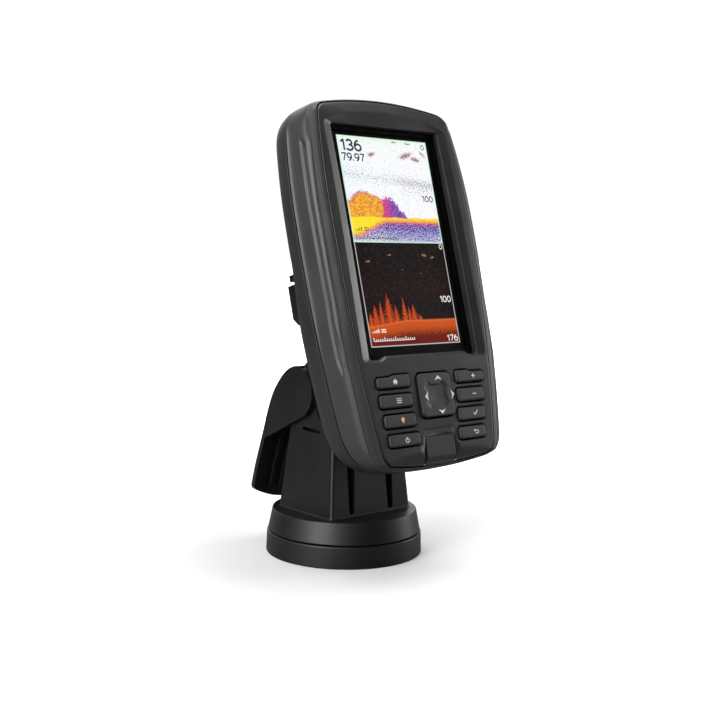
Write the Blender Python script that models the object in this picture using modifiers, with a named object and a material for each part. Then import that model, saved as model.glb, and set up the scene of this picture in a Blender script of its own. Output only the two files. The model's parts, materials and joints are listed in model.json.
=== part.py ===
"""Portrait fish finder on a tilt and swivel quick release stand.

Frame: origin at the centre of the underside of the round base, +Z up, the
screen faces -Y, +X is to the right of a person who reads the screen.
Dimensions are millimetres; meshes are made in metres.

The head is modelled in its own flat frame (x right, y up the screen,
z out of the screen, zero at the centre of the display) and stands in the
assembly through the empties swivel_axis > tilt_axis > head_frame. The cradle
is drawn in the same flat frame but hangs from tilt_axis.
"""
import math

import bmesh
import bpy
from mathutils import Matrix, Vector

MM = 0.001
SHARP_ANGLE = 35.0          # edges steeper than this shade sharp, degrees
MERGE = 0.0005              # distance at which doubled points are merged

# ---------------------------------------------------------------- placement
TILT_BACK = 16.2            # lean of the screen at rest, degrees
DISPLAY = (0.0, -34.9, 148.1)   # centre of the display in the assembly
PIVOT = (0.0, 8.0, 77.0)    # tilt pin, on the middle of the post
GAP = 0.3                   # clearance between parts that meet
PIN_R = 3.0                 # tilt pin
SIDES = ((-1, "left"), (1, "right"))

# case screws: x on the right hand side, y; each has a twin on the left
SCREWS = ((38.4, 47.0), (39.8, -22.0), (33.9, -84.0))
# x, y and name tag of all six
SCREW_SPOTS = [(side * x, y, f"{side}_{int(y)}") for x, y in SCREWS for side in (-1, 1)]

# plug between cradle and head: left, right, low, high
CONNECTOR = (-8.0, 8.0, -42.0, -28.0)

# ---------------------------------------------------------------- scene
for old in list(bpy.data.objects):
    bpy.data.objects.remove(old, do_unlink=True)

PARTS = bpy.data.collections.new("fish_finder")
CUTTERS = bpy.data.collections.new("cutters")
bpy.context.scene.collection.children.link(PARTS)
bpy.context.scene.collection.children.link(CUTTERS)


def empty(name, parent, at, turn_x=0.0):
    obj = bpy.data.objects.new(name, None)
    obj.empty_display_size = 0.02
    PARTS.objects.link(obj)
    obj.parent = parent
    obj.location = Vector(at) * MM
    obj.rotation_euler = (math.radians(turn_x), 0.0, 0.0)
    return obj


def to_head(point):
    """Assembly point to the head's flat frame."""
    lean = math.radians(TILT_BACK)
    y = point[1] - DISPLAY[1]
    z = point[2] - DISPLAY[2]
    behind = y * math.cos(lean) - z * math.sin(lean)
    up = y * math.sin(lean) + z * math.cos(lean)
    return Vector((point[0] - DISPLAY[0], up, -behind))


PIVOT_HEAD = to_head(PIVOT)
ORIGIN = Vector((0, 0, 0))

swivel_axis = empty("swivel_axis", None, ORIGIN)
tilt_axis = empty("tilt_axis", swivel_axis, PIVOT, 90.0 - TILT_BACK)
head_frame = empty("head_frame", tilt_axis, -PIVOT_HEAD)
lever_axis = empty("lever_axis", swivel_axis, PIVOT)

# frame: parent, and the place of the parent's origin in the frame's drawing space
FRAMES = {
    "world": (None, ORIGIN),
    "swivel": (swivel_axis, ORIGIN),
    "lever": (lever_axis, Vector(PIVOT)),
    "cradle": (tilt_axis, PIVOT_HEAD),
    "head": (head_frame, ORIGIN),
}
FRAME_OF = {}               # object name to the frame it is drawn in


# ---------------------------------------------------------------- materials
def material(name, colour, roughness, metallic=0.0, glow=None):
    mat = bpy.data.materials.new(name)
    mat.use_nodes = True
    inputs = mat.node_tree.nodes["Principled BSDF"].inputs
    inputs["Base Color"].default_value = (*colour, 1.0)
    inputs["Roughness"].default_value = roughness
    inputs["Metallic"].default_value = metallic
    if glow:
        inputs["Emission Color"].default_value = (*glow, 1.0)
        inputs["Emission Strength"].default_value = 1.0
    mat.diffuse_color = (*colour, 1.0)


material("case_grey", colour=(0.060, 0.062, 0.065), roughness=0.45)
material("case_dark", colour=(0.030, 0.031, 0.033), roughness=0.5)
material("stand_black", colour=(0.012, 0.012, 0.013), roughness=0.5)
material("key_rubber", colour=(0.035, 0.036, 0.038), roughness=0.6)
material("seal_rubber", colour=(0.02, 0.02, 0.02), roughness=0.8)
material("glass", colour=(0.01, 0.01, 0.012), roughness=0.05)
material("display", colour=(0.03, 0.05, 0.08), roughness=0.2, glow=(0.3, 0.3, 0.35))
material("steel", colour=(0.55, 0.56, 0.58), roughness=0.3, metallic=1.0)
material("board", colour=(0.02, 0.16, 0.07), roughness=0.5)
material("ceramic", colour=(0.75, 0.72, 0.65), roughness=0.5)
material("ribbon", colour=(0.55, 0.30, 0.05), roughness=0.4)
material("membrane", colour=(0.8, 0.8, 0.78), roughness=0.7)


# ---------------------------------------------------------------- objects
def place(obj, frame, origin):
    """Puts a mesh drawn in its frame's millimetre space on its own origin."""
    parent, zero = FRAMES[frame]
    at = Vector(origin)
    obj.data.transform(Matrix.Translation(-at))
    obj.data.transform(Matrix.Scale(MM, 4))
    obj.parent = parent
    obj.location = (at - zero) * MM
    FRAME_OF[obj.name] = frame


def add(name, mesh, frame, origin, mat):
    obj = bpy.data.objects.new(name, mesh)
    PARTS.objects.link(obj)
    mesh.name = name
    mesh.materials.append(bpy.data.materials[mat])
    place(obj, frame, origin)
    mesh.shade_smooth()
    mesh.set_sharp_from_angle(angle=math.radians(SHARP_ANGLE))
    return obj


def helper(name, mesh, frame):
    obj = bpy.data.objects.new("cut_" + name, mesh)
    CUTTERS.objects.link(obj)
    place(obj, frame, ORIGIN)
    obj.hide_render = True
    obj.display_type = "WIRE"
    return obj


def boolean(obj, other, how="DIFFERENCE"):
    mod = obj.modifiers.new(how.lower() + "_" + other.name, "BOOLEAN")
    mod.object = other
    mod.operation = how
    mod.solver = "EXACT"


def cut(obj, name, mesh):
    """Takes away a mesh drawn in the object's own frame."""
    boolean(obj, helper(name, mesh, FRAME_OF[obj.name]))


def join(obj, name, mesh):
    """Adds a mesh drawn in the object's own frame."""
    boolean(obj, helper(name, mesh, FRAME_OF[obj.name]), "UNION")


# ---------------------------------------------------------------- shapes
# turns a shape drawn along z to lie along x: its (x, y) become (y, z)
Z_TO_X = Matrix(((0, 0, 1, 0), (1, 0, 0, 0), (0, 1, 0, 0), (0, 0, 0, 1)))


def mesh_of(bm):
    bmesh.ops.recalc_face_normals(bm, faces=bm.faces)
    mesh = bpy.data.meshes.new("shape")
    bm.to_mesh(mesh)
    bm.free()
    return mesh


def box(x0, x1, y0, y1, z0, z1):
    bm = bmesh.new()
    bmesh.ops.create_cube(bm, size=1.0)
    bmesh.ops.scale(bm, verts=bm.verts, vec=(x1 - x0, y1 - y0, z1 - z0))
    middle = ((x0 + x1) / 2, (y0 + y1) / 2, (z0 + z1) / 2)
    bmesh.ops.translate(bm, verts=bm.verts, vec=middle)
    return mesh_of(bm)


def taper_box(low, high, z0, z1):
    """A box on the z axis whose half sizes go from low at z0 to high at z1."""
    bm = bmesh.new()
    bmesh.ops.create_cube(bm, size=2.0)
    for v in bm.verts:
        half, z = (high, z1) if v.co.z > 0 else (low, z0)
        v.co = Vector((v.co.x * half[0], v.co.y * half[1], z))
    return mesh_of(bm)


def rod(axis, at, radius, low, high, sides=24, high_radius=None):
    """A cylinder or cone along x or z; at holds the other two coordinates in xyz order."""
    bm = bmesh.new()
    bmesh.ops.create_cone(bm, cap_ends=True, segments=sides, radius1=radius,
                          radius2=radius if high_radius is None else high_radius,
                          depth=high - low)
    bmesh.ops.translate(bm, verts=bm.verts, vec=(0, 0, (low + high) / 2))
    if axis == "x":
        bmesh.ops.transform(bm, matrix=Z_TO_X, verts=bm.verts)
    shift = (0, *at) if axis == "x" else (*at, 0)
    bmesh.ops.translate(bm, verts=bm.verts, vec=shift)
    return mesh_of(bm)


def curve_bmesh(curve):
    """The evaluated shape of a curve, with doubled points merged."""
    obj = bpy.data.objects.new("outline", curve)
    bpy.context.scene.collection.objects.link(obj)
    bpy.context.view_layer.update()
    evaluated = obj.evaluated_get(bpy.context.evaluated_depsgraph_get())
    mesh = bpy.data.meshes.new_from_object(evaluated)
    bpy.data.objects.remove(obj)
    bpy.data.curves.remove(curve)
    bm = bmesh.new()
    bm.from_mesh(mesh)
    bpy.data.meshes.remove(mesh)
    bmesh.ops.remove_doubles(bm, verts=bm.verts, dist=MERGE)
    return bm


def slab(points, low, high, axis="z"):
    """A flat outline, drawn as a filled curve, with thickness along an axis.

    For axis x the outline is (y, z), for z it is (x, y)."""
    curve = bpy.data.curves.new("outline", "CURVE")
    curve.dimensions = "2D"
    curve.fill_mode = "BOTH"
    curve.extrude = (high - low) / 2
    spline = curve.splines.new("POLY")
    spline.points.add(len(points) - 1)
    for point, (x, y) in zip(spline.points, points):
        point.co = (x, y, 0, 1)
    spline.use_cyclic_u = True
    bm = curve_bmesh(curve)
    bmesh.ops.translate(bm, verts=bm.verts, vec=(0, 0, (low + high) / 2))
    if axis == "x":
        bmesh.ops.transform(bm, matrix=Z_TO_X, verts=bm.verts)
    bmesh.ops.dissolve_limit(bm, angle_limit=0.001, verts=bm.verts, edges=bm.edges)
    return mesh_of(bm)


def arc(cx, cy, radius, start, end, steps):
    angles = [math.radians(start + (end - start) * i / steps) for i in range(steps + 1)]
    return [(cx + radius * math.cos(a), cy + radius * math.sin(a)) for a in angles]


def round_box(x0, x1, y0, y1, radius, steps=4):
    return (arc(x1 - radius, y1 - radius, radius, 0, 90, steps)
            + arc(x0 + radius, y1 - radius, radius, 90, 180, steps)
            + arc(x0 + radius, y0 + radius, radius, 180, 270, steps)
            + arc(x1 - radius, y0 + radius, radius, 270, 360, steps))


def grown(rect, by):
    """A rectangle (left, right, low, high) moved outward on all sides."""
    left, right, low, high = rect
    return left - by, right + by, low - by, high + by


def span(side, near, far):
    """Low and high x of a stretch from near to far on one side of the middle."""
    return sorted((side * near, side * far))


def smooth(points, steps):
    """A Catmull-Rom curve through the points, ends included."""
    pts = [Vector(p) for p in points]
    pts = [pts[0] * 2 - pts[1]] + pts + [pts[-1] * 2 - pts[-2]]
    out = []
    for i in range(1, len(pts) - 2):
        a, b, c, d = pts[i - 1:i + 3]
        for k in range(steps):
            t = k / steps
            p = 0.5 * (2 * b + (c - a) * t + (2 * a - 5 * b + 4 * c - d) * t * t
                       + (3 * b - a - 3 * c + d) * t ** 3)
            out.append((p.x, p.y))
    out.append((pts[-2].x, pts[-2].y))
    return out


def loft(loops, close=False):
    """Joins loops of equal length with quads; the ends are capped, or meet when close is set."""
    bm = bmesh.new()
    rows = [[bm.verts.new(p) for p in loop] for loop in loops]
    count = len(rows[0])
    pairs = list(zip(rows, rows[1:])) + ([(rows[-1], rows[0])] if close else [])
    for a, b in pairs:
        for i in range(count):
            k = (i + 1) % count
            bm.faces.new((a[i], a[k], b[k], b[i]))
    if not close:
        bm.faces.new(rows[0])
        bm.faces.new(rows[-1])
    return mesh_of(bm)


def turned(name, profile, frame):
    """A disc of the stand: a Screw modifier spins the (radius, height) profile about z."""
    bm = bmesh.new()
    verts = [bm.verts.new((radius, 0, z)) for radius, z in profile]
    for a, b in zip(verts, verts[1:]):
        bm.edges.new((a, b))
    mesh = bpy.data.meshes.new("profile")
    bm.to_mesh(mesh)
    bm.free()
    obj = add(name, mesh, frame, ORIGIN, "stand_black")
    mod = obj.modifiers.new("spin", "SCREW")
    mod.steps = 56
    mod.render_steps = 56
    mod.use_merge_vertices = True
    mod.merge_threshold = 0.00001
    mod.use_smooth_shade = True
    return obj


def pin_bore(obj, name, at=PIVOT[1:], reach=30.0):
    """A hole for the tilt pin, across x."""
    cut(obj, name, rod("x", at, PIN_R + GAP, -reach, reach, 20))


# ================================================================ stand
BASE_R = 37.3
BASE_H = 10.3
BASE_HOLE_CIRCLE = 26.0     # radius of the circle the four screw holes lie on
BASE_HOLE_R = 2.3
SINK = (2.2, 5.2)           # countersink radius at its lower and upper end
DISC_TOP = 20.8
BOLT_R = 4.0
BOLT_HOLE_R = BOLT_R + GAP

POST_TOP = 64.0
POST_BOTTOM_HALF = (25.1, 20.8)
POST_TOP_HALF = (21.4, 16.6)
POST_CORNER = 3.8
EAR_IN = 17.6
EAR_OUT = 21.3
EAR_R = 10.5

# radius, height; from the top centre down the outer side to the bottom centre
BASE_PROFILE = [(0.0, BASE_H), (BASE_R - 0.7, BASE_H), (BASE_R - 0.2, BASE_H - 0.4),
                (BASE_R, 0.5), (BASE_R - 0.4, 0.0), (0.0, 0.0)]
DISC_PROFILE = [(0.0, DISC_TOP), (33.3, DISC_TOP), (34.1, 20.4), (34.5, 19.4),
                (36.3, 11.3), (35.9, 10.7), (0.0, 10.7)]


def build_base_plate():
    base = turned("base_plate", BASE_PROFILE, "world")
    cut(base, "bolt_thread", rod("z", (0, 0), BOLT_HOLE_R, 2.7, 30.0, 20))
    for k in range(4):
        angle = math.radians(45 + 90 * k)
        at = (BASE_HOLE_CIRCLE * math.cos(angle), BASE_HOLE_CIRCLE * math.sin(angle))
        cut(base, f"base_hole_{k}", rod("z", at, BASE_HOLE_R, -5.0, 30.0, 16))
        cut(base, f"base_sink_{k}",
            rod("z", at, SINK[0], BASE_H - 2.6, BASE_H + 0.4, 16, SINK[1]))


def build_swivel_post():
    """Turning disc with a tapered hollow trunk and two ears that hold the tilt pin."""
    post = turned("swivel_post", DISC_PROFILE, "swivel")
    stations = ((*POST_BOTTOM_HALF, 19.5), (*POST_TOP_HALF, POST_TOP))
    join(post, "trunk", loft([
        [(x, y, z) for x, y in round_box(-half_x, half_x, -half_y, half_y, POST_CORNER)]
        for half_x, half_y, z in stations]))
    ear = [(-12.0, 60.0), (-5.0, 66.0)] + arc(*PIVOT[1:], EAR_R, 205, -15, 14) + [(16.4, 60.0)]
    for side, _ in SIDES:
        join(post, f"ear_{side}", slab(ear, *span(side, EAR_IN, EAR_OUT), axis="x"))
    cut(post, "cable_way", taper_box((17.0, 13.0), (15.0, 11.0), 14.0, 58.0))
    cut(post, "bolt_way", rod("z", (0, 0), 4.4, 5.0, 15.0, 20))
    pin_bore(post, "pin_bore")
    for side, _ in SIDES:
        middle = side * 11.2
        cut(post, f"front_slot_{side}",
            box(middle - 1.9, middle + 1.9, -30.0, -15.6, 21.6, 56.0))
        cut(post, f"side_slot_{side}", box(*span(side, 19.6, 30.0), -7.0, 6.5, 58.6, 60.6))


def build_swivel_bolt():
    washer = add("swivel_washer", rod("z", (0, 0), 8.5, 14.3, 15.4), "swivel",
                 (0, 0, 14.3), "steel")
    cut(washer, "washer_hole", rod("z", (0, 0), BOLT_HOLE_R, 10, 20, 20))
    bolt = add("swivel_bolt", rod("z", (0, 0), BOLT_R, 3.0, 16.5, 20), "world",
               (0, 0, 3.0), "steel")
    join(bolt, "bolt_head", rod("z", (0, 0), 6.5, 15.7, 20.2, 6))


def build_tilt_pin():
    """The pin, with a friction washer inside each ear."""
    add("tilt_pin", rod("x", PIVOT[1:], PIN_R, -23.2, 23.2, 20), "swivel", PIVOT, "steel")
    for side, word in SIDES:
        washer = add("friction_washer_" + word,
                     rod("x", PIVOT[1:], 8.6, *span(side, 16.55, 17.3)),
                     "swivel", (side * 16.9, *PIVOT[1:]), "steel")
        pin_bore(washer, "washer_bore_" + word)


# ---------------------------------------------------------------- tilt lever
LEVER_IN = 22.1             # half width inside and outside the two cheeks
LEVER_OUT = 24.6
LEVER_WALL = 2.4
# share of the wall that the back edge moves by in y and z to give an inner edge
FOOT_SHIFT = (0.955, 0.32)
HOLLOW_SHIFT = (0.93, 0.36)
TIP_CORNER = 3.2
# y, z down the back edge of the lever
LEAF_BACK = [(4.0, 89.6), (10.0, 88.7), (15.0, 86.3), (20.0, 81.8), (25.2, 75.0), (29.4, 66.0),
             (33.2, 55.0), (37.4, 43.5), (40.6, 34.0), (44.9, 18.2)]


def build_tilt_lever():
    """Two leaf shaped cheeks and a long back plate that hangs behind the post."""
    back = smooth(LEAF_BACK, 3)
    front = arc(*PIVOT[1:], 12.3, 242, 108, 9)
    in_y, in_z = (LEVER_WALL * share for share in FOOT_SHIFT)
    foot_inner = [(y - in_y, z - in_z) for y, z in reversed(back) if z > 20.0 and z - in_z < 51.0]
    leaf = front + back + [(42.5, 18.2)] + foot_inner + [(32.0, 51.9)]
    lever = add("tilt_lever", slab(leaf, -LEVER_OUT, LEVER_OUT, axis="x"), "lever",
                PIVOT, "stand_black")

    # the room between the cheeks, open to the front and at both ends
    in_y, in_z = (LEVER_WALL * share for share in HOLLOW_SHIFT)
    inner = [(y - in_y, z - in_z) for y, z in back if 15.0 < z < 75.0]
    hollow = ([(-20.0, 100.0), (-20.0, 5.0), (inner[-1][0] + 1.0, 5.0)] + inner[::-1]
              + [(inner[0][0] + 3.0, inner[0][1] + 3.5), (60.0, 92.0), (60.0, 100.0)])
    cut(lever, "lever_hollow", slab(hollow, -LEVER_IN, LEVER_IN, axis="x"))
    pin_bore(lever, "lever_bore", reach=23.6)

    # trims the foot to a hollow curve with round corners; the outline is (x, z)
    corner_x = LEVER_OUT - TIP_CORNER
    edge = [(x, 18.8 + 5.6 * (abs(x) / 22.6) ** 2.2)
            for x in (18.0, 12.0, 6.0, 0.0, -6.0, -12.0, -18.0)]
    trim = ([(-40.0, 0.0), (40.0, 0.0), (40.0, 27.0), (LEVER_OUT, 27.0)]
            + arc(corner_x, 27.4, TIP_CORNER, -5, -68, 3) + edge
            + arc(-corner_x, 27.4, TIP_CORNER, 248, 185, 3)
            + [(-LEVER_OUT, 27.0), (-40.0, 27.0)])
    tip = slab(trim, 25.0, 60.0)
    # swapping y and z mirrors the mesh, so its normals are turned back out
    tip.transform(Matrix(((1, 0, 0, 0), (0, 0, 1, 0), (0, 1, 0, 0), (0, 0, 0, 1))))
    tip.flip_normals()
    cut(lever, "lever_tip", tip)


# ================================================================ cradle (flat head frame)
HUB_R = 9.5
ARM_HALF = 16.2
BLOCK_Z = (-49.4, -39.0)
SOCKET_AT = (19.0, -18.0)   # x on either side, y
SOCKET_R = 5.5
LATCH_PIN_AT = (0, -13.2, -44.0)
LATCH_PIN_R = 1.0
SPRING_AT = (0.0, -11.0, -47.5)
SPRING_R = 1.7
SPRING_WIRE = 0.25          # radius of the wire
SPRING_LENGTH = 1.6
SPRING_TURNS = 3
SPRING_STEPS = 10           # points per turn

# x, y of the block across the top of the cradle
BLOCK = [(28.0, -8.8), (-28.0, -8.8), (-28.0, -24.2), (-25.4, -27.2), (25.4, -27.2),
         (28.0, -24.2)]


def latch_bore():
    return rod("x", LATCH_PIN_AT[1:], LATCH_PIN_R + GAP, -13.0, 13.0, 12)


def build_cradle():
    """Arm from the tilt hub to a block with the tongue that the head slides onto."""
    hub_y, hub_z = PIVOT_HEAD.y, PIVOT_HEAD.z
    arm = ([(-9.0, -39.0), (-48.0, -39.0), (hub_y + 2.5, -41.5), (hub_y - 6.0, hub_z + 7.4)]
           + arc(hub_y, hub_z, HUB_R, 130, 270, 10)[1:]
           + [(hub_y + 5.0, hub_z - 8.0), (-45.5, -64.2), (-42.6, -58.8), (-30.5, -47.2),
              (-9.0, -47.2)])
    cradle = add("cradle", slab(arm, -ARM_HALF, ARM_HALF, axis="x"), "cradle", PIVOT_HEAD,
                 "stand_black")
    join(cradle, "cradle_block", slab(BLOCK, *BLOCK_Z))
    join(cradle, "tongue_neck", box(-11.6, 11.6, -48.0, -9.5, -41.0, -36.5))
    join(cradle, "tongue_head", box(-15.6, 15.6, -48.0, -9.5, -36.9, -34.8))
    pin_bore(cradle, "hub_bore", at=(hub_y, hub_z))
    cut(cradle, "latch_slot", box(-8.8, 8.8, -17.5, 0.0, -47.6, -40.4))
    cut(cradle, "latch_pin_bore", latch_bore())
    cut(cradle, "connector_pocket", box(*grown(CONNECTOR, GAP), -43.0, -30.0))
    for side, word in ((-1, "power"), (1, "transducer")):
        build_socket(cradle, side, word + "_socket")
    add("cradle_connector", box(*CONNECTOR, -42.7, -34.7), "cradle", (0, -35, -39), "case_dark")
    cut(cradle, "spring_pocket", box(-2.6, 2.6, -17.5, -8.0, -48.9, -47.0))


def build_socket(cradle, side, name):
    """Round cable socket, open to the rear, with a core in its well."""
    at = (side * SOCKET_AT[0], SOCKET_AT[1])
    cut(cradle, name + "_bore", rod("z", at, SOCKET_R + GAP, -55.0, -43.0, 20))
    socket = add(name, rod("z", at, SOCKET_R, -51.0, -43.3, 20), "cradle", (*at, -43.3),
                 "case_dark")
    cut(socket, name + "_well", rod("z", at, 3.9, -55.0, -46.0, 20))
    join(socket, name + "_core", rod("z", at, 1.6, -49.8, -45.5, 12))


def build_latch():
    latch = add("release_latch", box(-27.4, 27.4, -7.0, -4.0, -48.0, -40.0), "cradle",
                LATCH_PIN_AT, "stand_black")
    join(latch, "latch_arm", box(-8.0, 8.0, -15.6, -6.0, -46.2, -41.8))
    join(latch, "latch_tooth", box(-10.0, 10.0, -4.6, -1.2, -41.6, -38.9))
    cut(latch, "latch_arm_bore", latch_bore())
    add("latch_pin", rod("x", LATCH_PIN_AT[1:], LATCH_PIN_R, -12.6, 12.6, 12), "cradle",
        LATCH_PIN_AT, "steel")


def build_latch_spring():
    curve = bpy.data.curves.new("coil", "CURVE")
    curve.dimensions = "3D"
    curve.bevel_depth = SPRING_WIRE
    curve.bevel_resolution = 1
    curve.use_fill_caps = True
    spline = curve.splines.new("POLY")
    steps = SPRING_TURNS * SPRING_STEPS
    spline.points.add(steps)
    for i, point in enumerate(spline.points):
        angle = 2 * math.pi * SPRING_TURNS * i / steps
        z = -SPRING_LENGTH / 2 + SPRING_LENGTH * i / steps
        point.co = (SPRING_R * math.cos(angle), SPRING_R * math.sin(angle), z, 1)
    bm = curve_bmesh(curve)
    bmesh.ops.translate(bm, verts=bm.verts, vec=SPRING_AT)
    add("latch_spring", mesh_of(bm), "cradle", SPRING_AT, "steel")


# ================================================================ head outline
FACE_HALF = 41.6            # half width of the front face at its widest
FACE_WIDEST_Y = 12.0
NARROW_UP = 0.00163         # loss of half width per mm squared above the widest place
NARROW_DOWN = (0.00057, 9.4e-9)     # the same below it, per mm squared and to the fourth
FACE_TOP = 63.8
FACE_BOTTOM = -100.9
TOP_BOW = 0.0029            # fall of the top edge and rise of the bottom edge away from
LOW_BOW = 0.0022            # the middle, per mm squared
CORNER_PULL = 0.12          # inward shift of the corner's control point, share of its radius

FACE_CROWN_Y = -5.0         # highest place of the front face, and its height
FACE_CROWN_Z = 5.4
CROWN_UP = 0.00039          # fall per mm squared above and below it
CROWN_DOWN = 0.00021
BROW_Y = 57.0               # the face slopes off above this
LIP_Y = -97.8               # and below this

FLARE_SIDE = 7.4            # how much wider the case is at its rear seam
FLARE_GAIN = 0.008          # the extra width gained per mm toward the bottom
FLARE_TOP = 2.3
FLARE_BOTTOM = 1.3
BELLY = 1.3                 # fullness of the side band toward the bottom

SIDE_STEPS = 9
END_STEPS = 8
CORNER_STEPS = 4

# y places where the crowned front face bends
FACE_STATIONS = (-97.8, -92.0, -84.0, -75.0, -66.0, -56.0, -46.0, -34.0, -20.0, -5.0, 10.0,
                 22.0, 33.0, 43.0, 51.0, 57.0)


def half_width(y):
    d = y - FACE_WIDEST_Y
    if d > 0:
        return FACE_HALF - NARROW_UP * d * d
    return FACE_HALF - NARROW_DOWN[0] * d * d - NARROW_DOWN[1] * d ** 4


def face_z(y):
    """Height of the gently crowned front face, with its slopes at the top and the lower lip."""
    d = y - FACE_CROWN_Y
    z = FACE_CROWN_Z - (CROWN_UP if d > 0 else CROWN_DOWN) * d * d
    if y > BROW_Y:
        z -= 0.2 * (y - BROW_Y)
    if y < LIP_Y:
        z -= 1.25 * (LIP_Y - y)
    return z


def bend(start, end, control):
    """Points strictly between the ends of a quadratic corner curve."""
    points = []
    for i in range(1, CORNER_STEPS):
        s = i / CORNER_STEPS
        points.append(tuple((1 - s) ** 2 * a + 2 * s * (1 - s) * c + s * s * b
                            for a, b, c in zip(start, end, control)))
    return points


def outline(rear, grow):
    """Closed outline of the case, anticlockwise from the lower right.

    rear is 0 at the front face and 1 at the rear seam; grow moves it outward."""
    top = FACE_TOP + FLARE_TOP * rear + grow
    low = FACE_BOTTOM - FLARE_BOTTOM * rear - grow
    top_radius = max(2.5, 4.5 + 7.5 * rear + (0.55 if grow > 0 else 0.3) * grow)
    low_radius = max(2.5, 6.0 + 13.0 * rear * rear + (0.45 if grow > 0 else 0.1) * grow)

    def wide(y):
        flare = FLARE_SIDE + FLARE_GAIN * max(0.0, 10.0 - y)
        belly = BELLY * min(1.0, max(0.0, (-28.0 - y) / 26.0))
        return half_width(y) + flare * rear + grow + belly * 4 * rear * (1 - rear)

    def top_y(x):
        return top - TOP_BOW * x * x

    def low_y(x):
        return low + LOW_BOW * x * x

    side_top = top_y(wide(top)) - top_radius
    side_low = low_y(wide(low)) + low_radius
    top_wide = wide(side_top)
    low_wide = wide(side_low)
    top_x = top_wide - top_radius
    low_x = low_wide - low_radius
    top_control = (top_wide - CORNER_PULL * top_radius, top_y(top_wide))
    low_control = (low_wide - CORNER_PULL * low_radius, low_y(low_wide))

    right = [(wide(y), y) for y in
             [side_low + (side_top - side_low) * i / SIDE_STEPS for i in range(SIDE_STEPS + 1)]]
    half = right + bend(right[-1], (top_x, top_y(top_x)), top_control)
    top_xs = [top_x * (1 - i / END_STEPS * 2) for i in range(END_STEPS // 2)]
    half += [(x, top_y(x)) for x in top_xs]
    low_xs = [-low_x + 2 * low_x * i / END_STEPS for i in range(END_STEPS + 1)]
    bottom = [(x, low_y(x)) for x in low_xs]
    return (half + [(0.0, top)] + [(-x, y) for x, y in reversed(half)]
            + bend((-low_wide, side_low), bottom[0], (-low_control[0], low_control[1]))
            + bottom + bend(bottom[-1], (low_wide, side_low), low_control))


def ring_at(rear, grow, z):
    """Outline at a height that is a number or a function of y."""
    return [(x, y, z(y) if callable(z) else z) for x, y in outline(rear, grow)]


def below_face(drop):
    return lambda y: face_z(y) - drop


def crowned_plate(points, floor):
    """An outline whose upper side follows the front face and whose lower side is flat."""
    bm = bmesh.new()
    bm.from_mesh(slab(points, -1.0, 1.0))
    ys = sorted(v.co.y for v in bm.verts)
    for y in FACE_STATIONS:
        if ys[0] + 0.5 < y < ys[-1] - 0.5:
            bmesh.ops.bisect_plane(bm, geom=list(bm.verts) + list(bm.edges) + list(bm.faces),
                                   dist=1e-5, plane_co=(0, y, 0), plane_no=(0, 1, 0))
    for v in bm.verts:
        v.co.z = face_z(v.co.y) if v.co.z > 0 else floor
    bm.normal_update()
    return mesh_of(bm)


# ================================================================ front bezel
WINDOW_TOP_HALF = 32.0      # half width of the display window at its top and bottom
WINDOW_LOW_HALF = 32.7
WINDOW_LOW = -53.6
WINDOW_HIGH = 51.5
WINDOW_CHAMFER = 4.4
WINDOW_DROP = 0.9           # depth of the chamfer
OVERSHOOT = 0.1             # share by which the chamfer's cutter runs on above the face
ARCH_TOP = 58.1             # arched upper edge of the chamfer: height in the middle,
ARCH_FALL = 0.0039          # and fall per mm squared
WINDOW_CORNER = 3           # corner radius
STEP_XS = (24.0, 26.5)      # the raised step in the lower edge slopes between these
STEP_RISE = 1.5

# keys: name, left, right, bottom, top
KEYS = (
    ("key_home", -31.9, -13.2, -66.2, -60.7),
    ("key_menu", -31.6, -13.2, -74.6, -69.0),
    ("key_mark", -30.7, -12.8, -83.1, -77.6),
    ("key_power", -29.6, -12.0, -91.3, -86.0),
    ("key_plus", 14.9, 32.2, -66.4, -60.9),
    ("key_minus", 14.3, 31.0, -75.0, -69.1),
    ("key_select", 13.3, 29.9, -83.4, -77.7),
    ("key_back", 12.2, 28.3, -91.6, -86.2),
)
KEY_PROUD = 1.1
KEY_CLEAR = 0.35
KEY_STEP_XS = (22.4, 24.2)  # the top keys step down between these
KEY_STEP_DROP = 0.8
DPAD_AT = (1.1, -70.7)
DPAD_HALF = 9.6
DPAD_CLEAR = 0.45

DOOR_LEFT = -8.2
DOOR_RIGHT = 8.6
DOOR_TOP = -88.4
DOOR_HINGE = (0.2, -100.0, 1.15)
KNUCKLE_R = 1.15


def window_loop(side, low, arch, lift):
    """The window outline with the small raised step in the middle of its lower edge.

    side and low move it outward; arch blends its top from straight to arched;
    lift(y) is its height."""
    def top_at(x):
        return WINDOW_HIGH + arch * (ARCH_TOP - ARCH_FALL * x * x - WINDOW_HIGH)

    r = WINDOW_CORNER
    low_half = WINDOW_LOW_HALF + side
    top_half = WINDOW_TOP_HALF + side
    y_low = WINDOW_LOW - low
    y_high = top_at(top_half)
    step_in, step_out = STEP_XS
    y_step = y_low + STEP_RISE
    rise = [(low_half + (top_half - low_half) * (y - WINDOW_LOW) / (WINDOW_HIGH - WINDOW_LOW), y)
            for y in FACE_STATIONS[6:14]]
    points = ([(-low_half + r, y_low), (-step_out, y_low), (-step_in, y_step),
               (step_in, y_step), (step_out, y_low), (low_half - r, y_low)]
              + arc(low_half - r, y_low + r, r, 270, 360, 3)[1:] + rise
              + arc(top_half - r, y_high - r, r, 0, 90, 3)
              + [(x, top_at(x)) for x in (20.0, 10.0, 0.0, -10.0, -20.0)]
              + arc(-top_half + r, y_high - r, r, 90, 180, 3)
              + [(-x, y) for x, y in reversed(rise)]
              + arc(-low_half + r, y_low + r, r, 180, 270, 3)[:-1])
    return [(x, y, lift(y)) for x, y in points]


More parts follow.
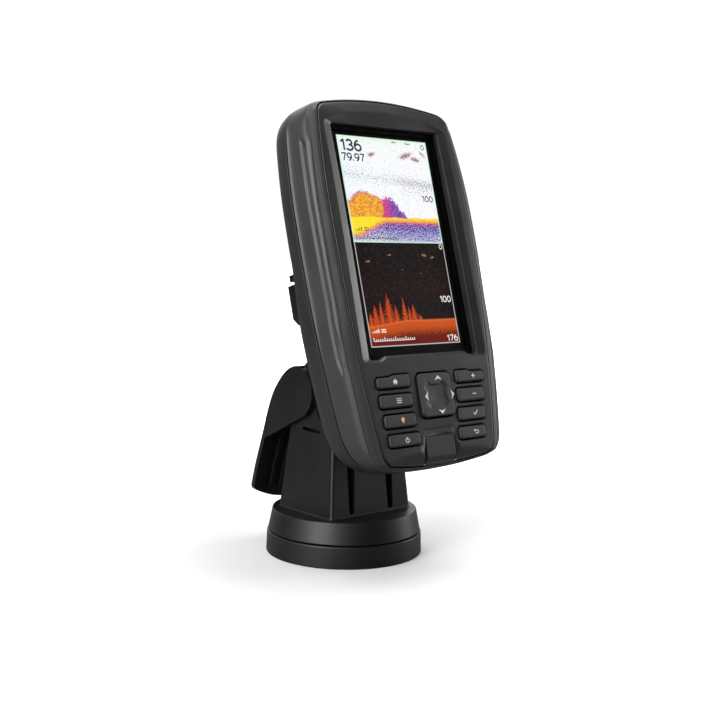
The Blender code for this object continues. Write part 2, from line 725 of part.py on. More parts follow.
def window_cutter():
    """Straight walls up to the chamfer, then the chamfer, then straight up clear of the face."""
    straight = (0.0, 0.0, 0.0)
    flared = (WINDOW_CHAMFER * (1 + OVERSHOOT), 1.4, 1.06)
    return loft([
        window_loop(*straight, lambda y: -3.0),
        window_loop(*straight, below_face(WINDOW_DROP)),
        window_loop(*flared, below_face(-WINDOW_DROP * OVERSHOOT)),
        window_loop(*flared, lambda y: 9.0)])


def key_outline(name, rect, grow=0.0):
    """Rounded key; the top keys carry the small step that follows the window's lower edge."""
    x0, x1, y0, y1 = grown(rect, grow)
    r = 1.3 + grow * 0.6
    step_in, step_out = KEY_STEP_XS
    left_y = right_y = y1
    step = []
    if name == "key_home":
        left_y = y1 - KEY_STEP_DROP
        step = [(-step_in, y1), (-step_out, left_y)]
    elif name == "key_plus":
        right_y = y1 - KEY_STEP_DROP
        step = [(step_out, right_y), (step_in, y1)]
    return (arc(x1 - r, right_y - r, r, 0, 90, 3) + step + arc(x0 + r, left_y - r, r, 90, 180, 3)
            + arc(x0 + r, y0 + r, r, 180, 270, 3) + arc(x1 - r, y0 + r, r, 270, 360, 3))


def dpad_rect(clear=0.0):
    x, y = DPAD_AT
    half = DPAD_HALF
    return grown((x - half, x + half, y - half, y + half), clear)


def build_front_bezel():
    bezel = add("front_bezel", crowned_plate(outline(0.0, 0.0), -1.2), "head", ORIGIN,
                "case_grey")
    cut(bezel, "glass_pocket", slab(round_box(-35.0, 35.0, -56.6, 54.6, 3.0), -6.0, 2.8))
    cut(bezel, "window", window_cutter())
    cut(bezel, "key_pocket", slab(round_box(-32.9, 33.2, -94.2, -58.6, 2.5), -6.0, 2.4))
    for name, *rect in KEYS:
        cut(bezel, name + "_opening", slab(key_outline(name, rect, KEY_CLEAR), -3.0, 9.0))
    cut(bezel, "dpad_opening", slab(round_box(*dpad_rect(DPAD_CLEAR), 2.6), -3.0, 9.0))
    left, right = DOOR_LEFT - GAP, DOOR_RIGHT + GAP
    cut(bezel, "door_pocket", box(left, right, -110.0, DOOR_TOP + GAP, 2.0, 12.0))
    cut(bezel, "door_hinge_way", box(left, right, -110.0, -97.0, -0.3, 12.0))
    cut(bezel, "card_slot_way", box(-6.6, 7.0, -96.6, -93.6, -4.0, 6.0))


def build_keys():
    for name, *rect in KEYS:
        x = (rect[0] + rect[1]) / 2
        y = (rect[2] + rect[3]) / 2
        add(name, slab(key_outline(name, rect), 0.3, face_z(y) + KEY_PROUD), "head",
            (x, y, face_z(y)), "key_rubber")


def build_dpad():
    """Dished cap that rocks on the nub of a pivot."""
    face = face_z(DPAD_AT[1])
    origin = (*DPAD_AT, 0.0)
    cap = add("dpad_cap", slab(round_box(*dpad_rect(), 2.3), 1.0, face + 1.3), "head", origin,
              "key_rubber")
    cut(cap, "dpad_dish", rod("z", DPAD_AT, 3.0, face + 0.6, face + 2.4, 8, 6.4))
    cut(cap, "dpad_socket", rod("z", DPAD_AT, 2.6, -2.0, 2.6, 16))
    pivot = add("dpad_pivot", rod("z", DPAD_AT, 5.0, -0.35, 0.6, 20), "head", origin,
                "case_dark")
    join(pivot, "dpad_pivot_nub", rod("z", DPAD_AT, 2.1, 0.2, 2.1, 16))


def build_card_door():
    """Door in the lower lip: a plate under the crowned face and a knuckle on the hinge pin."""
    hinge_y, hinge_z = DOOR_HINGE[1:]
    profile = ([(DOOR_TOP, face_z(DOOR_TOP)), (-93.0, face_z(-93.0)),
                (-97.6, face_z(-97.7) + 0.02)]
               + arc(hinge_y, hinge_z, KNUCKLE_R, 60, 270, 7)
               + [(hinge_y + 1.3, hinge_z + 0.2), (-97.4, 2.35), (DOOR_TOP, 2.3)])
    door = add("card_door", slab(profile, DOOR_LEFT, DOOR_RIGHT, axis="x"), "head", DOOR_HINGE,
               "case_grey")
    cut(door, "door_pin_bore", rod("x", DOOR_HINGE[1:], 0.65, -20, 20, 12))
    add("card_door_pin", rod("x", DOOR_HINGE[1:], 0.35, DOOR_LEFT + 0.2, DOOR_RIGHT - 0.2, 10),
        "head", DOOR_HINGE, "steel")


# ================================================================ side band and rear cover
SEAM_Z = -9.8               # rear edge of the side band
LEDGE_Z = -1.5              # ledge behind the front bezel
BORE_R = 1.5                # case screw holes
SCREW_R = 1.2
SCREW_SEAT_Z = -16.3
VENT_AT = (0.0, 26.0)

# rings of the side band: rear, grow, z; round the outside, then back up the inside
BAND_RINGS = (
    (0.0, 0.3, LEDGE_Z), (0.0, 0.3, below_face(0.3)), (0.2, 0.35, below_face(0.6)),
    (0.42, 0.35, below_face(2.0)), (0.66, 0.3, below_face(4.6)), (0.86, 0.2, -7.6),
    (1.0, 0.0, SEAM_Z), (1.0, -3.6, SEAM_Z), (0.5, -3.2, -3.6), (0.0, -2.0, -3.2),
    (0.0, -2.0, LEDGE_Z))
# rings of the rear cover: inset, z at the lower part, rise toward the upper part
REAR_OUTER = (
    (0.0, -10.2, 0), (0.45, -15.0, 0.3), (1.5, -19.8, 1.2), (3.9, -24.6, 2.3),
    (8.6, -28.8, 2.3), (16.5, -32.2, 1.1), (24.0, -34.0, 0))
REAR_INNER = (
    (1.2, -5.0, 0), (1.2, -11.2, 0), (3.0, -11.2, 0), (3.1, -15.0, 0.3), (4.0, -19.2, 1.2),
    (6.2, -23.4, 2.2), (10.6, -27.0, 2.2), (18.0, -30.4, 1.1), (25.0, -32.0, 0))
# rings of the housing gasket: inset, z
GASKET_RINGS = ((1.6, -10.9), (1.6, -10.1), (2.7, -10.1), (2.7, -10.9))


def build_mid_housing():
    housing = add("mid_housing", loft([ring_at(*ring) for ring in BAND_RINGS], close=True),
                  "head", (0, 0, -6.0), "case_grey")
    for x, y, tag in SCREW_SPOTS:
        join(housing, "lug_" + tag, rod("z", (x, y), 4.0, SEAM_Z, -3.6, 16))
    for x, y, tag in SCREW_SPOTS:
        cut(housing, "lug_bore_" + tag, rod("z", (x, y), BORE_R, -12.0, -4.6, 12))


def rear_loft(steps):
    """Closed form of the rear cover; rise makes it shallower above the middle than below."""
    def height(z, rise):
        def at(y):
            f = min(1.0, max(0.0, (y + 38.0) / 33.0))
            return z + rise * (f * f * (3 - 2 * f))
        return at

    return loft([ring_at(1.0, -inset, height(z, rise)) for inset, z, rise in steps])


def build_rear_cover():
    """The outer form, less a cavity that leaves the screw bosses standing."""
    rear = add("rear_cover", rear_loft(REAR_OUTER), "head", (0, 0, -20.0), "case_grey")
    cavity = helper("rear_cavity", rear_loft(REAR_INNER), "head")
    for x, y, tag in SCREW_SPOTS:
        cut(cavity, "boss_" + tag, rod("z", (x, y), 4.2, -40.0, -11.2, 16))
    join(rear, "rear_boss", slab(round_box(-21.0, 21.0, -52.0, -3.0, 3.0, 2), -38.6, -33.0))
    boolean(rear, cavity)
    for x, y, tag in SCREW_SPOTS:
        cut(rear, "sink_" + tag, rod("z", (x, y), 3.0, -45.0, -16.0, 16))
        cut(rear, "bore_" + tag, rod("z", (x, y), BORE_R, -18.0, -9.0, 12))
    cut(rear, "dovetail_mouth", box(-12.0, 12.0, -60.0, -9.0, -45.0, -36.4))
    cut(rear, "dovetail_room", box(-16.0, 16.0, -60.0, -9.0, -37.2, -34.4))
    cut(rear, "connector_window", box(*grown(CONNECTOR, GAP), -36.0, -28.0))
    cut(rear, "vent_hole", rod("z", VENT_AT, 1.8, -40.0, -25.0, 12))
    cut(rear, "vent_seat", rod("z", VENT_AT, 3.6, -40.0, -33.2, 20))


def build_case_screws():
    for i, (x, y, tag) in enumerate(SCREW_SPOTS, 1):
        screw = add(f"case_screw_{i}", rod("z", (x, y), SCREW_R, -16.8, -5.0, 12), "head",
                    (x, y, SCREW_SEAT_Z), "steel")
        join(screw, "screw_head_" + tag, rod("z", (x, y), 2.6, -18.3, SCREW_SEAT_Z, 16))
        cut(screw, "screw_drive_" + tag, rod("z", (x, y), 1.2, -22.0, -17.3, 6))


def build_seals():
    rings = [ring_at(1.0, -inset, z) for inset, z in GASKET_RINGS]
    add("housing_gasket", loft(rings, close=True), "head", (0, 0, -10.5), "seal_rubber")
    add("vent_membrane", rod("z", VENT_AT, 3.2, -33.75, -33.45, 20), "head",
        (*VENT_AT, -33.6), "membrane")


# ================================================================ inside the head
# name, box (x0, x1, y0, y1, z0, z1), origin, material
INNER_BOXES = (
    ("lcd_panel", (-28.8, 28.8, -51.0, 49.6, -1.8, 0.0), (0, 0, 0), "display"),
    ("backlight_unit", (-29.6, 29.6, -51.6, 50.2, -4.4, -2.1), (0, 0, -4.4), "steel"),
    ("main_board", (-33.0, 33.0, -55.0, 55.0, -9.6, -8.2), (0, 0, -9), "board"),
    ("keypad_board", (-29.6, 29.6, -90.0, -58.6, -4.6, -3.2), (0, -74, -4), "board"),
    ("gps_antenna", (-9.0, 9.0, 34.0, 52.0, -7.9, -4.9), (0, 43, -7.9), "ceramic"),
    ("shield_can", (-17.0, 17.0, -2.0, 30.0, -13.0, -9.9), (0, 14, -9.9), "steel"),
    ("head_connector", (*CONNECTOR, -34.2, -18.0), (0, -35, -18), "case_dark"),
    ("card_socket", (-7.4, 7.8, -97.6, -91.0, -8.6, -5.0), (0.2, -94, -5), "steel"),
)
KEY_MAT = [(32.4, -59.2), (-32.0, -59.2), (-29.4, -93.0), (29.8, -93.0)]    # x, y
RIBBON_THICK = 0.3
# name, left, right, path in y, z
RIBBONS = (
    ("display_ribbon", -26.0, -12.0,
     [(-44.0, -5.2), (-52.0, -5.4), (-53.4, -6.2), (-52.0, -7.3), (-44.0, -7.6)]),
    ("keypad_ribbon", 10.0, 22.0,
     [(-84.0, -5.2), (-62.0, -5.4), (-57.6, -7.0), (-54.0, -7.6), (-50.0, -7.6)]),
)


def build_window_parts():
    add("window_glass", slab(round_box(-34.4, 34.4, -56.0, 54.0, 2.6), 1.2, 2.6), "head",
        (0, 0, 1.2), "glass")
    gasket = add("window_gasket", slab(round_box(-34.0, 34.0, -55.6, 53.6, 2.4), 0.3, 0.9),
                 "head", (0, 0, 0.3), "seal_rubber")
    cut(gasket, "gasket_window", box(-30.2, 30.2, -51.8, 50.4, -2, 4))


def build_inner_parts():
    for name, extent, origin, mat in INNER_BOXES:
        add(name, box(*extent), "head", origin, mat)
    add("key_mat", slab(KEY_MAT, -2.8, -0.9), "head", (0, -76, -2), "seal_rubber")
    add("buzzer", rod("z", (20.0, -46.0), 6.0, -14.4, -9.9, 20), "head", (20, -46, -9.9),
        "case_dark")


def build_ribbon(name, left, right, path):
    """A flat flexible cable that follows a path in the y, z plane."""
    upper, lower = [], []
    for i, (y, z) in enumerate(path):
        before = path[max(0, i - 1)]
        after = path[min(len(path) - 1, i + 1)]
        run, climb = after[0] - before[0], after[1] - before[1]
        length = math.hypot(run, climb)
        off_y = -climb / length * RIBBON_THICK / 2
        off_z = run / length * RIBBON_THICK / 2
        upper.append((y + off_y, z + off_z))
        lower.insert(0, (y - off_y, z - off_z))
    add(name, slab(upper + lower, left, right, axis="x"), "head", (left, *path[0]), "ribbon")


# ================================================================ assembly
build_base_plate()
build_swivel_post()
build_swivel_bolt()
build_tilt_pin()
build_tilt_lever()

build_cradle()
build_latch()
build_latch_spring()

build_front_bezel()
build_keys()
build_dpad()
build_card_door()
build_mid_housing()
build_rear_cover()
build_case_screws()
build_seals()

build_window_parts()
build_inner_parts()
for ribbon in RIBBONS:
    build_ribbon(*ribbon)

bpy.context.view_layer.update()
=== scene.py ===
"""Portrait fish finder on a swivel stand: case, keys, lit picture, stand and studio.

Shapes are drawn in millimetres and piece() turns them into metres. Head pieces use the
head's own frame: x right across the face, y up the face, z out of it. HEAD places that frame
in the world, leaning back. The stand is drawn in world axes: z up, front towards -y.
"""
import json
import math
from functools import reduce

import bmesh
import bpy
import numpy as np
from mathutils import Matrix, Vector, geometry


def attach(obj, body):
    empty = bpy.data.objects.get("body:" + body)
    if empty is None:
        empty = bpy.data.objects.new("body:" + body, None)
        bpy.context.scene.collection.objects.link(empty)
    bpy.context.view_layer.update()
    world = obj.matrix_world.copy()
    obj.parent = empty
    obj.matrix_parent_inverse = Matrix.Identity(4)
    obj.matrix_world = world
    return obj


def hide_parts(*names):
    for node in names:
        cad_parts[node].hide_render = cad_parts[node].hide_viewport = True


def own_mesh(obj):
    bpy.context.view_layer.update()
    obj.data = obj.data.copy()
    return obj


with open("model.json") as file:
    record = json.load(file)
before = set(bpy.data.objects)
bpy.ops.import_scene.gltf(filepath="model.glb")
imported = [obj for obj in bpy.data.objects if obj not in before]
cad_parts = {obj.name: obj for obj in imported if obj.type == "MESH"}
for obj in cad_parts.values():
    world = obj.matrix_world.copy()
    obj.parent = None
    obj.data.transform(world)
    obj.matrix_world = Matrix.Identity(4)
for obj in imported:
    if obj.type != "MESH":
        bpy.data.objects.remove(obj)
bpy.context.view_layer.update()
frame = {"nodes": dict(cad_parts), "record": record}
nodes = frame["nodes"]
MM = 0.001

# ---------------------------------------------------------------- frames
LEAN = math.radians(16.2)
SN, CS = math.sin(LEAN), math.cos(LEAN)
HEAD = Matrix(((1, 0, 0, 0), (0, SN, -CS, -34.9), (0, CS, SN, 148.1), (0, 0, 0, 1)))
WORLD = Matrix.Identity(4)
PIVOT = (8.0, 77.0)  # tilt axis of the head: world y, z


# ================================================================ shader helpers
def operation(kind):
    return lambda self, *others: self.math(kind, *others)


class Value:
    """A shader value that can be written with plain arithmetic; tree is where nodes are added."""
    tree = None

    def __init__(self, socket):
        self.socket = socket

    def math(self, kind, *others):
        return shade("Math", dict(enumerate((self,) + others)), operation=kind)

    __add__ = __radd__ = operation("ADD")
    __sub__ = operation("SUBTRACT")
    __mul__ = __rmul__ = operation("MULTIPLY")
    __truediv__ = operation("DIVIDE")
    abs = operation("ABSOLUTE")
    exp = operation("EXPONENT")
    sin = operation("SINE")
    max = operation("MAXIMUM")
    min = operation("MINIMUM")
    pow = operation("POWER")
    gt = operation("GREATER_THAN")
    lt = operation("LESS_THAN")

    def __neg__(self):
        return self * -1.0

    def __rsub__(self, other):
        return self * -1.0 + other

    def step(self, start, end, low=0.0, high=1.0):
        """Smooth step: low at start, high at end."""
        inputs = dict(enumerate((self, start, end, low, high)))
        return shade("MapRange", inputs, interpolation_type="SMOOTHSTEP")


def feed(socket, value):
    """Links a Value into a socket, or sets a number, colour or vector."""
    if isinstance(value, Value):
        Value.tree.links.new(value.socket, socket)
    elif socket.type == "RGBA":
        socket.default_value = (*value, 1.0)
    else:
        socket.default_value = value


def shade(kind, inputs=None, output=0, **settings):
    """Adds a shader node with {socket: value} inputs and gives one of its outputs."""
    node = Value.tree.nodes.new("ShaderNode" + kind)
    for name, value in settings.items():
        setattr(node, name, value)
    for key, value in (inputs or {}).items():
        feed(node.inputs[key], value)
    return Value(node.outputs[output])


def mix(first, second, factor):
    return shade("Mix", {0: factor, 6: first, 7: second}, output=2, data_type="RGBA")


def noise(vector, scale, detail=2.0, rough=0.5):
    inputs = {"Vector": vector, "Scale": scale, "Detail": detail, "Roughness": rough}
    return shade("TexNoise", inputs, output="Fac")


def combine(x, y, z=0.0):
    return shade("CombineXYZ", {0: x, 1: y, 2: z})


def split(vector):
    node = shade("SeparateXYZ", {0: vector}).socket.node
    return [Value(socket) for socket in node.outputs]


def dot(first, second):
    return shade("VectorMath", {0: first, 1: second}, output="Value", operation="DOT_PRODUCT")


def object_coords():
    return shade("TexCoord", output="Object")


def highest(values):
    return reduce(Value.max, values)


def bump(height, strength, distance):
    """distance is the height of the relief in metres."""
    return shade("Bump", {"Strength": strength, "Distance": distance, "Height": height})


def edge_mask(radius):
    """0 on flats, near 1 on edges: how far a rounded normal turns from the true one."""
    turned = shade("Bevel", {"Radius": radius}, samples=3)
    return (1.0 - dot(turned, shade("NewGeometry", output="Normal"))).step(0.01, 0.25)


def start_material(name):
    made = bpy.data.materials.new(name)
    made.use_nodes = True
    Value.tree = made.node_tree
    return made


def finish_material(made, inputs):
    shader = made.node_tree.nodes["Principled BSDF"]
    for name, value in inputs.items():
        feed(shader.inputs[name], value)
    return made


# ================================================================ materials
# Two colours in a material are the ends of its mottling; scales are per metre.
def plastic(name, low, high, rough, grain=2200.0, depth=0.00004, edge=0.6):
    """Moulded plastic: fine grain, faint flow mottling, edges painted lighter as a highlight and as
    rubbed wear.
    """
    made = start_material(name)
    place = object_coords()
    fine = noise(place, grain, rough=0.6)
    cloud = noise(place, 60.0, detail=3.0, rough=0.55)
    scuff = noise(place, 540.0, detail=4.0, rough=0.7).step(0.56, 0.78)
    base = mix(low, high, cloud.step(0.3, 0.7))
    if edge:
        # painted highlight: rounded edges are lightened for the light they catch, as well as for
        # rubbed wear
        edge_sheen_and_wear = edge_mask(radius=0.00055) * (0.55 + noise(place, 900.0) * 0.9)
        base = mix(base, tuple(min(1.0, c * 3.2 + 0.05) for c in high), edge_sheen_and_wear * edge)
    base = mix(base, tuple(c * 1.25 for c in high), scuff * 0.25)
    cloudy = cloud.step(0.25, 0.75, rough - 0.035, rough + 0.035)
    return finish_material(made, {
        "Base Color": base,
        "Roughness": cloudy + (fine - 0.5) * 0.12 - scuff * 0.03,
        "Normal": bump(fine, strength=0.5, distance=depth)})


def metal(name, colour, rough, stretch):
    """Metal with stained colour; stretch draws its noise out into brush lines."""
    made = start_material(name)
    place = object_coords()
    lines = noise(shade("Mapping", {"Vector": place, "Scale": stretch}), 260.0,
                  detail=3.0, rough=0.7)
    stain = noise(place, 150.0, detail=3.0, rough=0.6)
    return finish_material(made, {
        "Base Color": mix(tuple(c * 0.72 for c in colour), colour, stain.step(0.3, 0.6)),
        "Metallic": 1.0,
        "Roughness": lines.step(0.2, 0.8, rough - 0.08, rough + 0.12),
        "Normal": bump(lines, strength=0.25, distance=0.00003)})


def simple(name, low, high, rough, grain=1200.0, specular=0.5):
    """Gently mottled material with a fine grain."""
    made = start_material(name)
    place = object_coords()
    fine = noise(place, grain)
    mottle = noise(place, 200.0, detail=3.0, rough=0.6).step(0.35, 0.65)
    return finish_material(made, {
        "Base Color": mix(low, high, mottle),
        "Roughness": fine.step(0.2, 0.8, rough - 0.05, rough + 0.08),
        "Specular IOR Level": specular,
        "Normal": bump(fine, strength=0.2, distance=0.00003)})


def board_material():
    """Solder mask over copper: traces show as faint raised lines."""
    made = start_material("circuit_board")
    place = object_coords()
    x, _, z = split(place)
    wobble = noise(place, 90.0, detail=1.0)
    trace = (((x * 2600.0 + wobble * 30.0).sin()).step(0.55, 0.8)
             * ((z * 900.0 + wobble * 12.0).sin()).step(-0.3, 0.3))
    pads = noise(place, 420.0, detail=0.0).step(0.70, 0.73)
    mask = mix((0.008, 0.085, 0.035), (0.015, 0.14, 0.06), trace)
    return finish_material(made, {
        "Base Color": mix(mask, (0.75, 0.72, 0.6), pads),
        "Metallic": pads,
        "Roughness": pads.step(0, 1, 0.32, 0.25),
        "Normal": bump(trace + pads, strength=0.4, distance=0.00006)})


def glow_material(name, colour):
    """Self-lit ink on the picture."""
    made = start_material(name)
    grain = noise(object_coords(), 3000.0, detail=1.0)
    return finish_material(made, {
        "Base Color": (0.0, 0.0, 0.0),
        "Roughness": grain.step(0.2, 0.8, 0.4, 0.5),
        "Emission Color": mix(tuple(c * 0.94 for c in colour), colour, grain),
        "Emission Strength": 1.0})


case_mat = plastic("case_charcoal", (0.0145, 0.0148, 0.0151), (0.0182, 0.0185, 0.0188), rough=0.36)
side_mat = plastic("case_side", (0.0335, 0.0338, 0.0342), (0.0405, 0.0408, 0.0412), rough=0.42)
rear_mat = plastic("case_rear", (0.017, 0.0173, 0.0177), (0.021, 0.0213, 0.0217),
                   rough=0.48, grain=1500.0, depth=0.00006)
dark_mat = plastic("case_inner_dark", (0.010, 0.010, 0.0105), (0.013, 0.013, 0.0135),
                   rough=0.55, edge=0.2)
stand_mat = plastic("stand_black", (0.0040, 0.0041, 0.0043), (0.0058, 0.0059, 0.0061),
                    rough=0.40, grain=1700.0, depth=0.00006)
key_mat = plastic("key_rubber", (0.019, 0.0194, 0.0198), (0.0235, 0.0239, 0.0243),
                  rough=0.48, grain=3000.0, depth=0.00002, edge=0.9)
seal_mat = plastic("seal_rubber", (0.008, 0.008, 0.008), (0.012, 0.012, 0.012),
                   rough=0.75, edge=0.0)
steel_mat = metal("steel", (0.55, 0.56, 0.58), rough=0.3, stretch=(1.0, 14.0, 14.0))
shield_mat = metal("tinned_can", (0.62, 0.63, 0.62), rough=0.38, stretch=(1, 1, 1))
board_mat = board_material()
ceramic_mat = simple("ceramic_patch", (0.62, 0.58, 0.50), (0.78, 0.74, 0.66), rough=0.5)
ribbon_mat = simple("amber_film", (0.42, 0.20, 0.03), (0.60, 0.32, 0.07), rough=0.32)
membrane_mat = simple("membrane", (0.62, 0.62, 0.60), (0.8, 0.8, 0.78), rough=0.75, grain=4000.0)
white_ink = simple("ink_white", (0.78, 0.79, 0.80), (0.88, 0.88, 0.88), rough=0.45)
amber_ink = simple("ink_amber", (0.78, 0.42, 0.10), (0.88, 0.52, 0.16), rough=0.45)
# near-black with almost no gloss: painted shade for the bottoms of seams and gaps
shade_black_mat = simple("painted_shade_black", (0.0012, 0.0012, 0.0013), (0.002, 0.002, 0.0021),
                  rough=0.8, specular=0.05)
mask_mat = simple("mask_black", (0.0006, 0.0006, 0.0007), (0.0011, 0.0011, 0.0012),
                  rough=0.45, specular=0.06)


# ================================================================ mesh helpers
def as_mesh(verts, faces):
    mesh = bpy.data.meshes.new("shape")
    mesh.from_pydata([tuple(v) for v in verts], [], faces)
    mesh.update()
    return mesh


def fixed(mesh):
    """Turns all faces outward."""
    build = bmesh.new()
    build.from_mesh(mesh)
    bmesh.ops.recalc_face_normals(build, faces=build.faces)
    build.to_mesh(mesh)
    build.free()
    return mesh


def joined(parts):
    """One mesh of several; the parts are used up."""
    build = bmesh.new()
    for part in parts:
        build.from_mesh(part)
        bpy.data.meshes.remove(part)
    mesh = bpy.data.meshes.new("joined")
    build.to_mesh(mesh)
    build.free()
    return mesh


def shade_flats(obj, angle):
    """Smooth shading split at the angle, with normals weighted by face area, so a rounded
    edge does not bend the shading of the flat beside it."""
    obj.data.set_sharp_from_angle(angle=math.radians(angle))
    mod = obj.modifiers.new("flats", "WEIGHTED_NORMAL")
    mod.mode = "FACE_AREA"
    mod.weight = 50
    mod.keep_sharp = True


def piece(name, mesh, body, material, replaces=(), sharp=35.0, space=HEAD):
    """Places a mesh in the world; sharp is the crease angle, 0 for none."""
    mesh.transform(space)
    mesh.transform(Matrix.Scale(MM, 4))
    mesh.name = name
    mesh.materials.clear()
    mesh.materials.append(material)
    mesh.shade_smooth()
    obj = bpy.data.objects.new(name, mesh)
    bpy.context.scene.collection.objects.link(obj)
    if sharp:
        shade_flats(obj, sharp)
    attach(obj, body)
    if replaces:
        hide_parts(*replaces)
    return obj


def add(mesh):
    return mesh, "UNION"


def cut(mesh):
    return mesh, "DIFFERENCE"


def worked(mesh, steps, bevel=None):
    """Applies add() and cut() steps, then a bevel of (width, segments, angle)."""
    def linked(name, data):
        obj = bpy.data.objects.new(name, data)
        bpy.context.scene.collection.objects.link(obj)
        return obj

    obj = linked("work", mesh)
    tools = []
    for other, how in steps:
        tools.append(linked("tool", other))
        mod = obj.modifiers.new("boolean", "BOOLEAN")
        mod.object = tools[-1]
        mod.operation = how
        mod.solver = "EXACT"
    obj.modifiers.new("weld", "WELD").merge_threshold = 0.004
    if bevel:
        mod = obj.modifiers.new("bevel", "BEVEL")
        mod.width, mod.segments = bevel[:2]
        mod.limit_method = "ANGLE"
        mod.angle_limit = math.radians(bevel[2])
    bpy.context.view_layer.update()
    done = obj.evaluated_get(bpy.context.evaluated_depsgraph_get())
    out = bpy.data.meshes.new_from_object(done)
    for used in tools + [obj]:
        bpy.data.objects.remove(used)
    return out


def box(x0, x1, y0, y1, z0, z1):
    verts = [(x, y, z) for x in (x0, x1) for y in (y0, y1) for z in (z0, z1)]
    faces = [(0, 1, 3, 2), (4, 6, 7, 5), (0, 4, 5, 1), (2, 3, 7, 6), (0, 2, 6, 4), (1, 5, 7, 3)]
    return fixed(as_mesh(verts, faces))


def oval(cx, cy, rx, ry, start, end, count=14):
    """Points of an ellipse from start to end in degrees."""
    angles = [math.radians(start + (end - start) * i / count) for i in range(count + 1)]
    return [(cx + rx * math.cos(a), cy + ry * math.sin(a)) for a in angles]


def arc(cx, cy, radius, start, end, count):
    return oval(cx, cy, radius, radius, start, end, count)


def round_box(x0, x1, y0, y1, r, n=8):
    """Rectangle outline with corner radius r, n steps to a corner."""
    return (arc(x1 - r, y1 - r, r, 0, 90, n) + arc(x0 + r, y1 - r, r, 90, 180, n)
            + arc(x0 + r, y0 + r, r, 180, 270, n) + arc(x1 - r, y0 + r, r, 270, 360, n))


def loft(loops, close=False):
    """Skin over equal loops; the ends are capped, or joined to each other with close."""
    n, rows = len(loops[0]), len(loops)
    verts = [p for loop in loops for p in loop]
    faces = []
    for row in range(rows if close else rows - 1):
        a, b = row * n, ((row + 1) % rows) * n
        for i in range(n):
            j = (i + 1) % n
            faces.append((a + i, a + j, b + j, b + i))
    if not close:
        faces.append(tuple(range(n)))
        faces.append(tuple(range((rows - 1) * n, rows * n)))
    return fixed(as_mesh(verts, faces))


AXES = {
    "z": Matrix.Identity(4),
    "x": Matrix(((0, 0, 1, 0), (1, 0, 0, 0), (0, 1, 0, 0), (0, 0, 0, 1))),
}


def slab(points, low, high, axis="z"):
    """Prism of an outline; for axis x the outline is (y, z)."""
    mesh = loft([[(x, y, level) for x, y in points] for level in (low, high)])
    mesh.transform(AXES[axis])
    return fixed(mesh)


def rod(axis, at, radius, low, high, sides=48, end_radius=None):
    """Cylinder or cone along x or z; at is its place in the other two axes."""
    turns = [2 * math.pi * i / sides for i in range(sides)]
    ends = ((radius, low), (radius if end_radius is None else end_radius, high))
    mesh = loft([[(r * math.cos(a), r * math.sin(a), z) for a in turns] for r, z in ends])
    mesh.transform(AXES[axis])
    mesh.transform(Matrix.Translation((0, *at) if axis == "x" else (*at, 0)))
    return fixed(mesh)


def lathe(profile, sides=192):
    """Solid of revolution; the (radius, z) profile starts and ends on the axis."""
    inner = profile[1:-1]
    verts, faces = [(0, 0, profile[0][1])], []
    turns = [2 * math.pi * i / sides for i in range(sides)]
    for r, z in inner:
        verts += [(r * math.cos(a), r * math.sin(a), z) for a in turns]
    verts.append((0, 0, profile[-1][1]))
    last = 1 + (len(inner) - 1) * sides
    for i in range(sides):
        j = (i + 1) % sides
        faces.append((0, 1 + i, 1 + j))
        for a in range(1, last, sides):
            b = a + sides
            faces.append((a + i, b + i, b + j, a + j))
        faces.append((last + i, len(verts) - 1, last + j))
    return fixed(as_mesh(verts, faces))


def rounded(points, radius, count=5):
    """Rounds the corners of an open (radius, z) profile."""
    out = [points[0]]
    for a, b, c in zip(points, points[1:], points[2:]):
        back, on = Vector(a) - Vector(b), Vector(c) - Vector(b)
        reach = min(radius, back.length * 0.45, on.length * 0.45)
        p, q = Vector(b) + back.normalized() * reach, Vector(b) + on.normalized() * reach
        for i in range(count + 1):
            s = i / count
            out.append(tuple(((1 - s) ** 2) * p + 2 * s * (1 - s) * Vector(b) + s * s * q))
    out.append(points[-1])
    return out


def smooth(points, steps=8):
    """Catmull-Rom curve through points."""
    pts = [Vector(p) for p in points]
    pts = [pts[0] * 2 - pts[1]] + pts + [pts[-1] * 2 - pts[-2]]
    out = []
    for a, b, c, d in zip(pts, pts[1:], pts[2:], pts[3:]):
        for k in range(steps):
            t = k / steps
            out.append(tuple(0.5 * (2 * b + (c - a) * t + (2 * a - 5 * b + 4 * c - d) * t * t
                                    + (3 * b - a - 3 * c + d) * t ** 3)))
    out.append(tuple(pts[-2]))
    return out


def spline(rows, at):
    """The row at a fractional index of a table, by Catmull-Rom."""
    table = np.array(rows, float)
    table = np.vstack([2 * table[0] - table[1], table, 2 * table[-1] - table[-2]])
    at = float(np.clip(at, 0, len(rows) - 1 - 1e-9))
    i = int(at)
    f = at - i
    a, b, c, d = table[i:i + 4]
    return 0.5 * (2 * b + (c - a) * f + (2 * a - 5 * b + 4 * c - d) * f ** 2
                  + (3 * b - a - 3 * c + d) * f ** 3)


def line_distance(px, py, line, closed=True):
    """Distance from points to a polyline."""
    best = np.full(np.shape(px), 1e9)
    pts = list(line) + ([line[0]] if closed else [])
    for (ax, ay), (bx, by) in zip(pts, pts[1:]):
        dx, dy = bx - ax, by - ay
        square = dx * dx + dy * dy
        if square < 1e-12:
            continue
        s = np.clip(((px - ax) * dx + (py - ay) * dy) / square, 0, 1)
        best = np.minimum(best, np.hypot(px - ax - s * dx, py - ay - s * dy))
    return best


def inside(px, py, loop):
    hit = np.zeros(px.shape, bool)
    for (ax, ay), (bx, by) in zip(loop, loop[1:] + loop[:1]):
        if ay != by:
            hit ^= ((ay > py) != (by > py)) & (px < (bx - ax) * (py - ay) / (by - ay) + ax)
    return hit


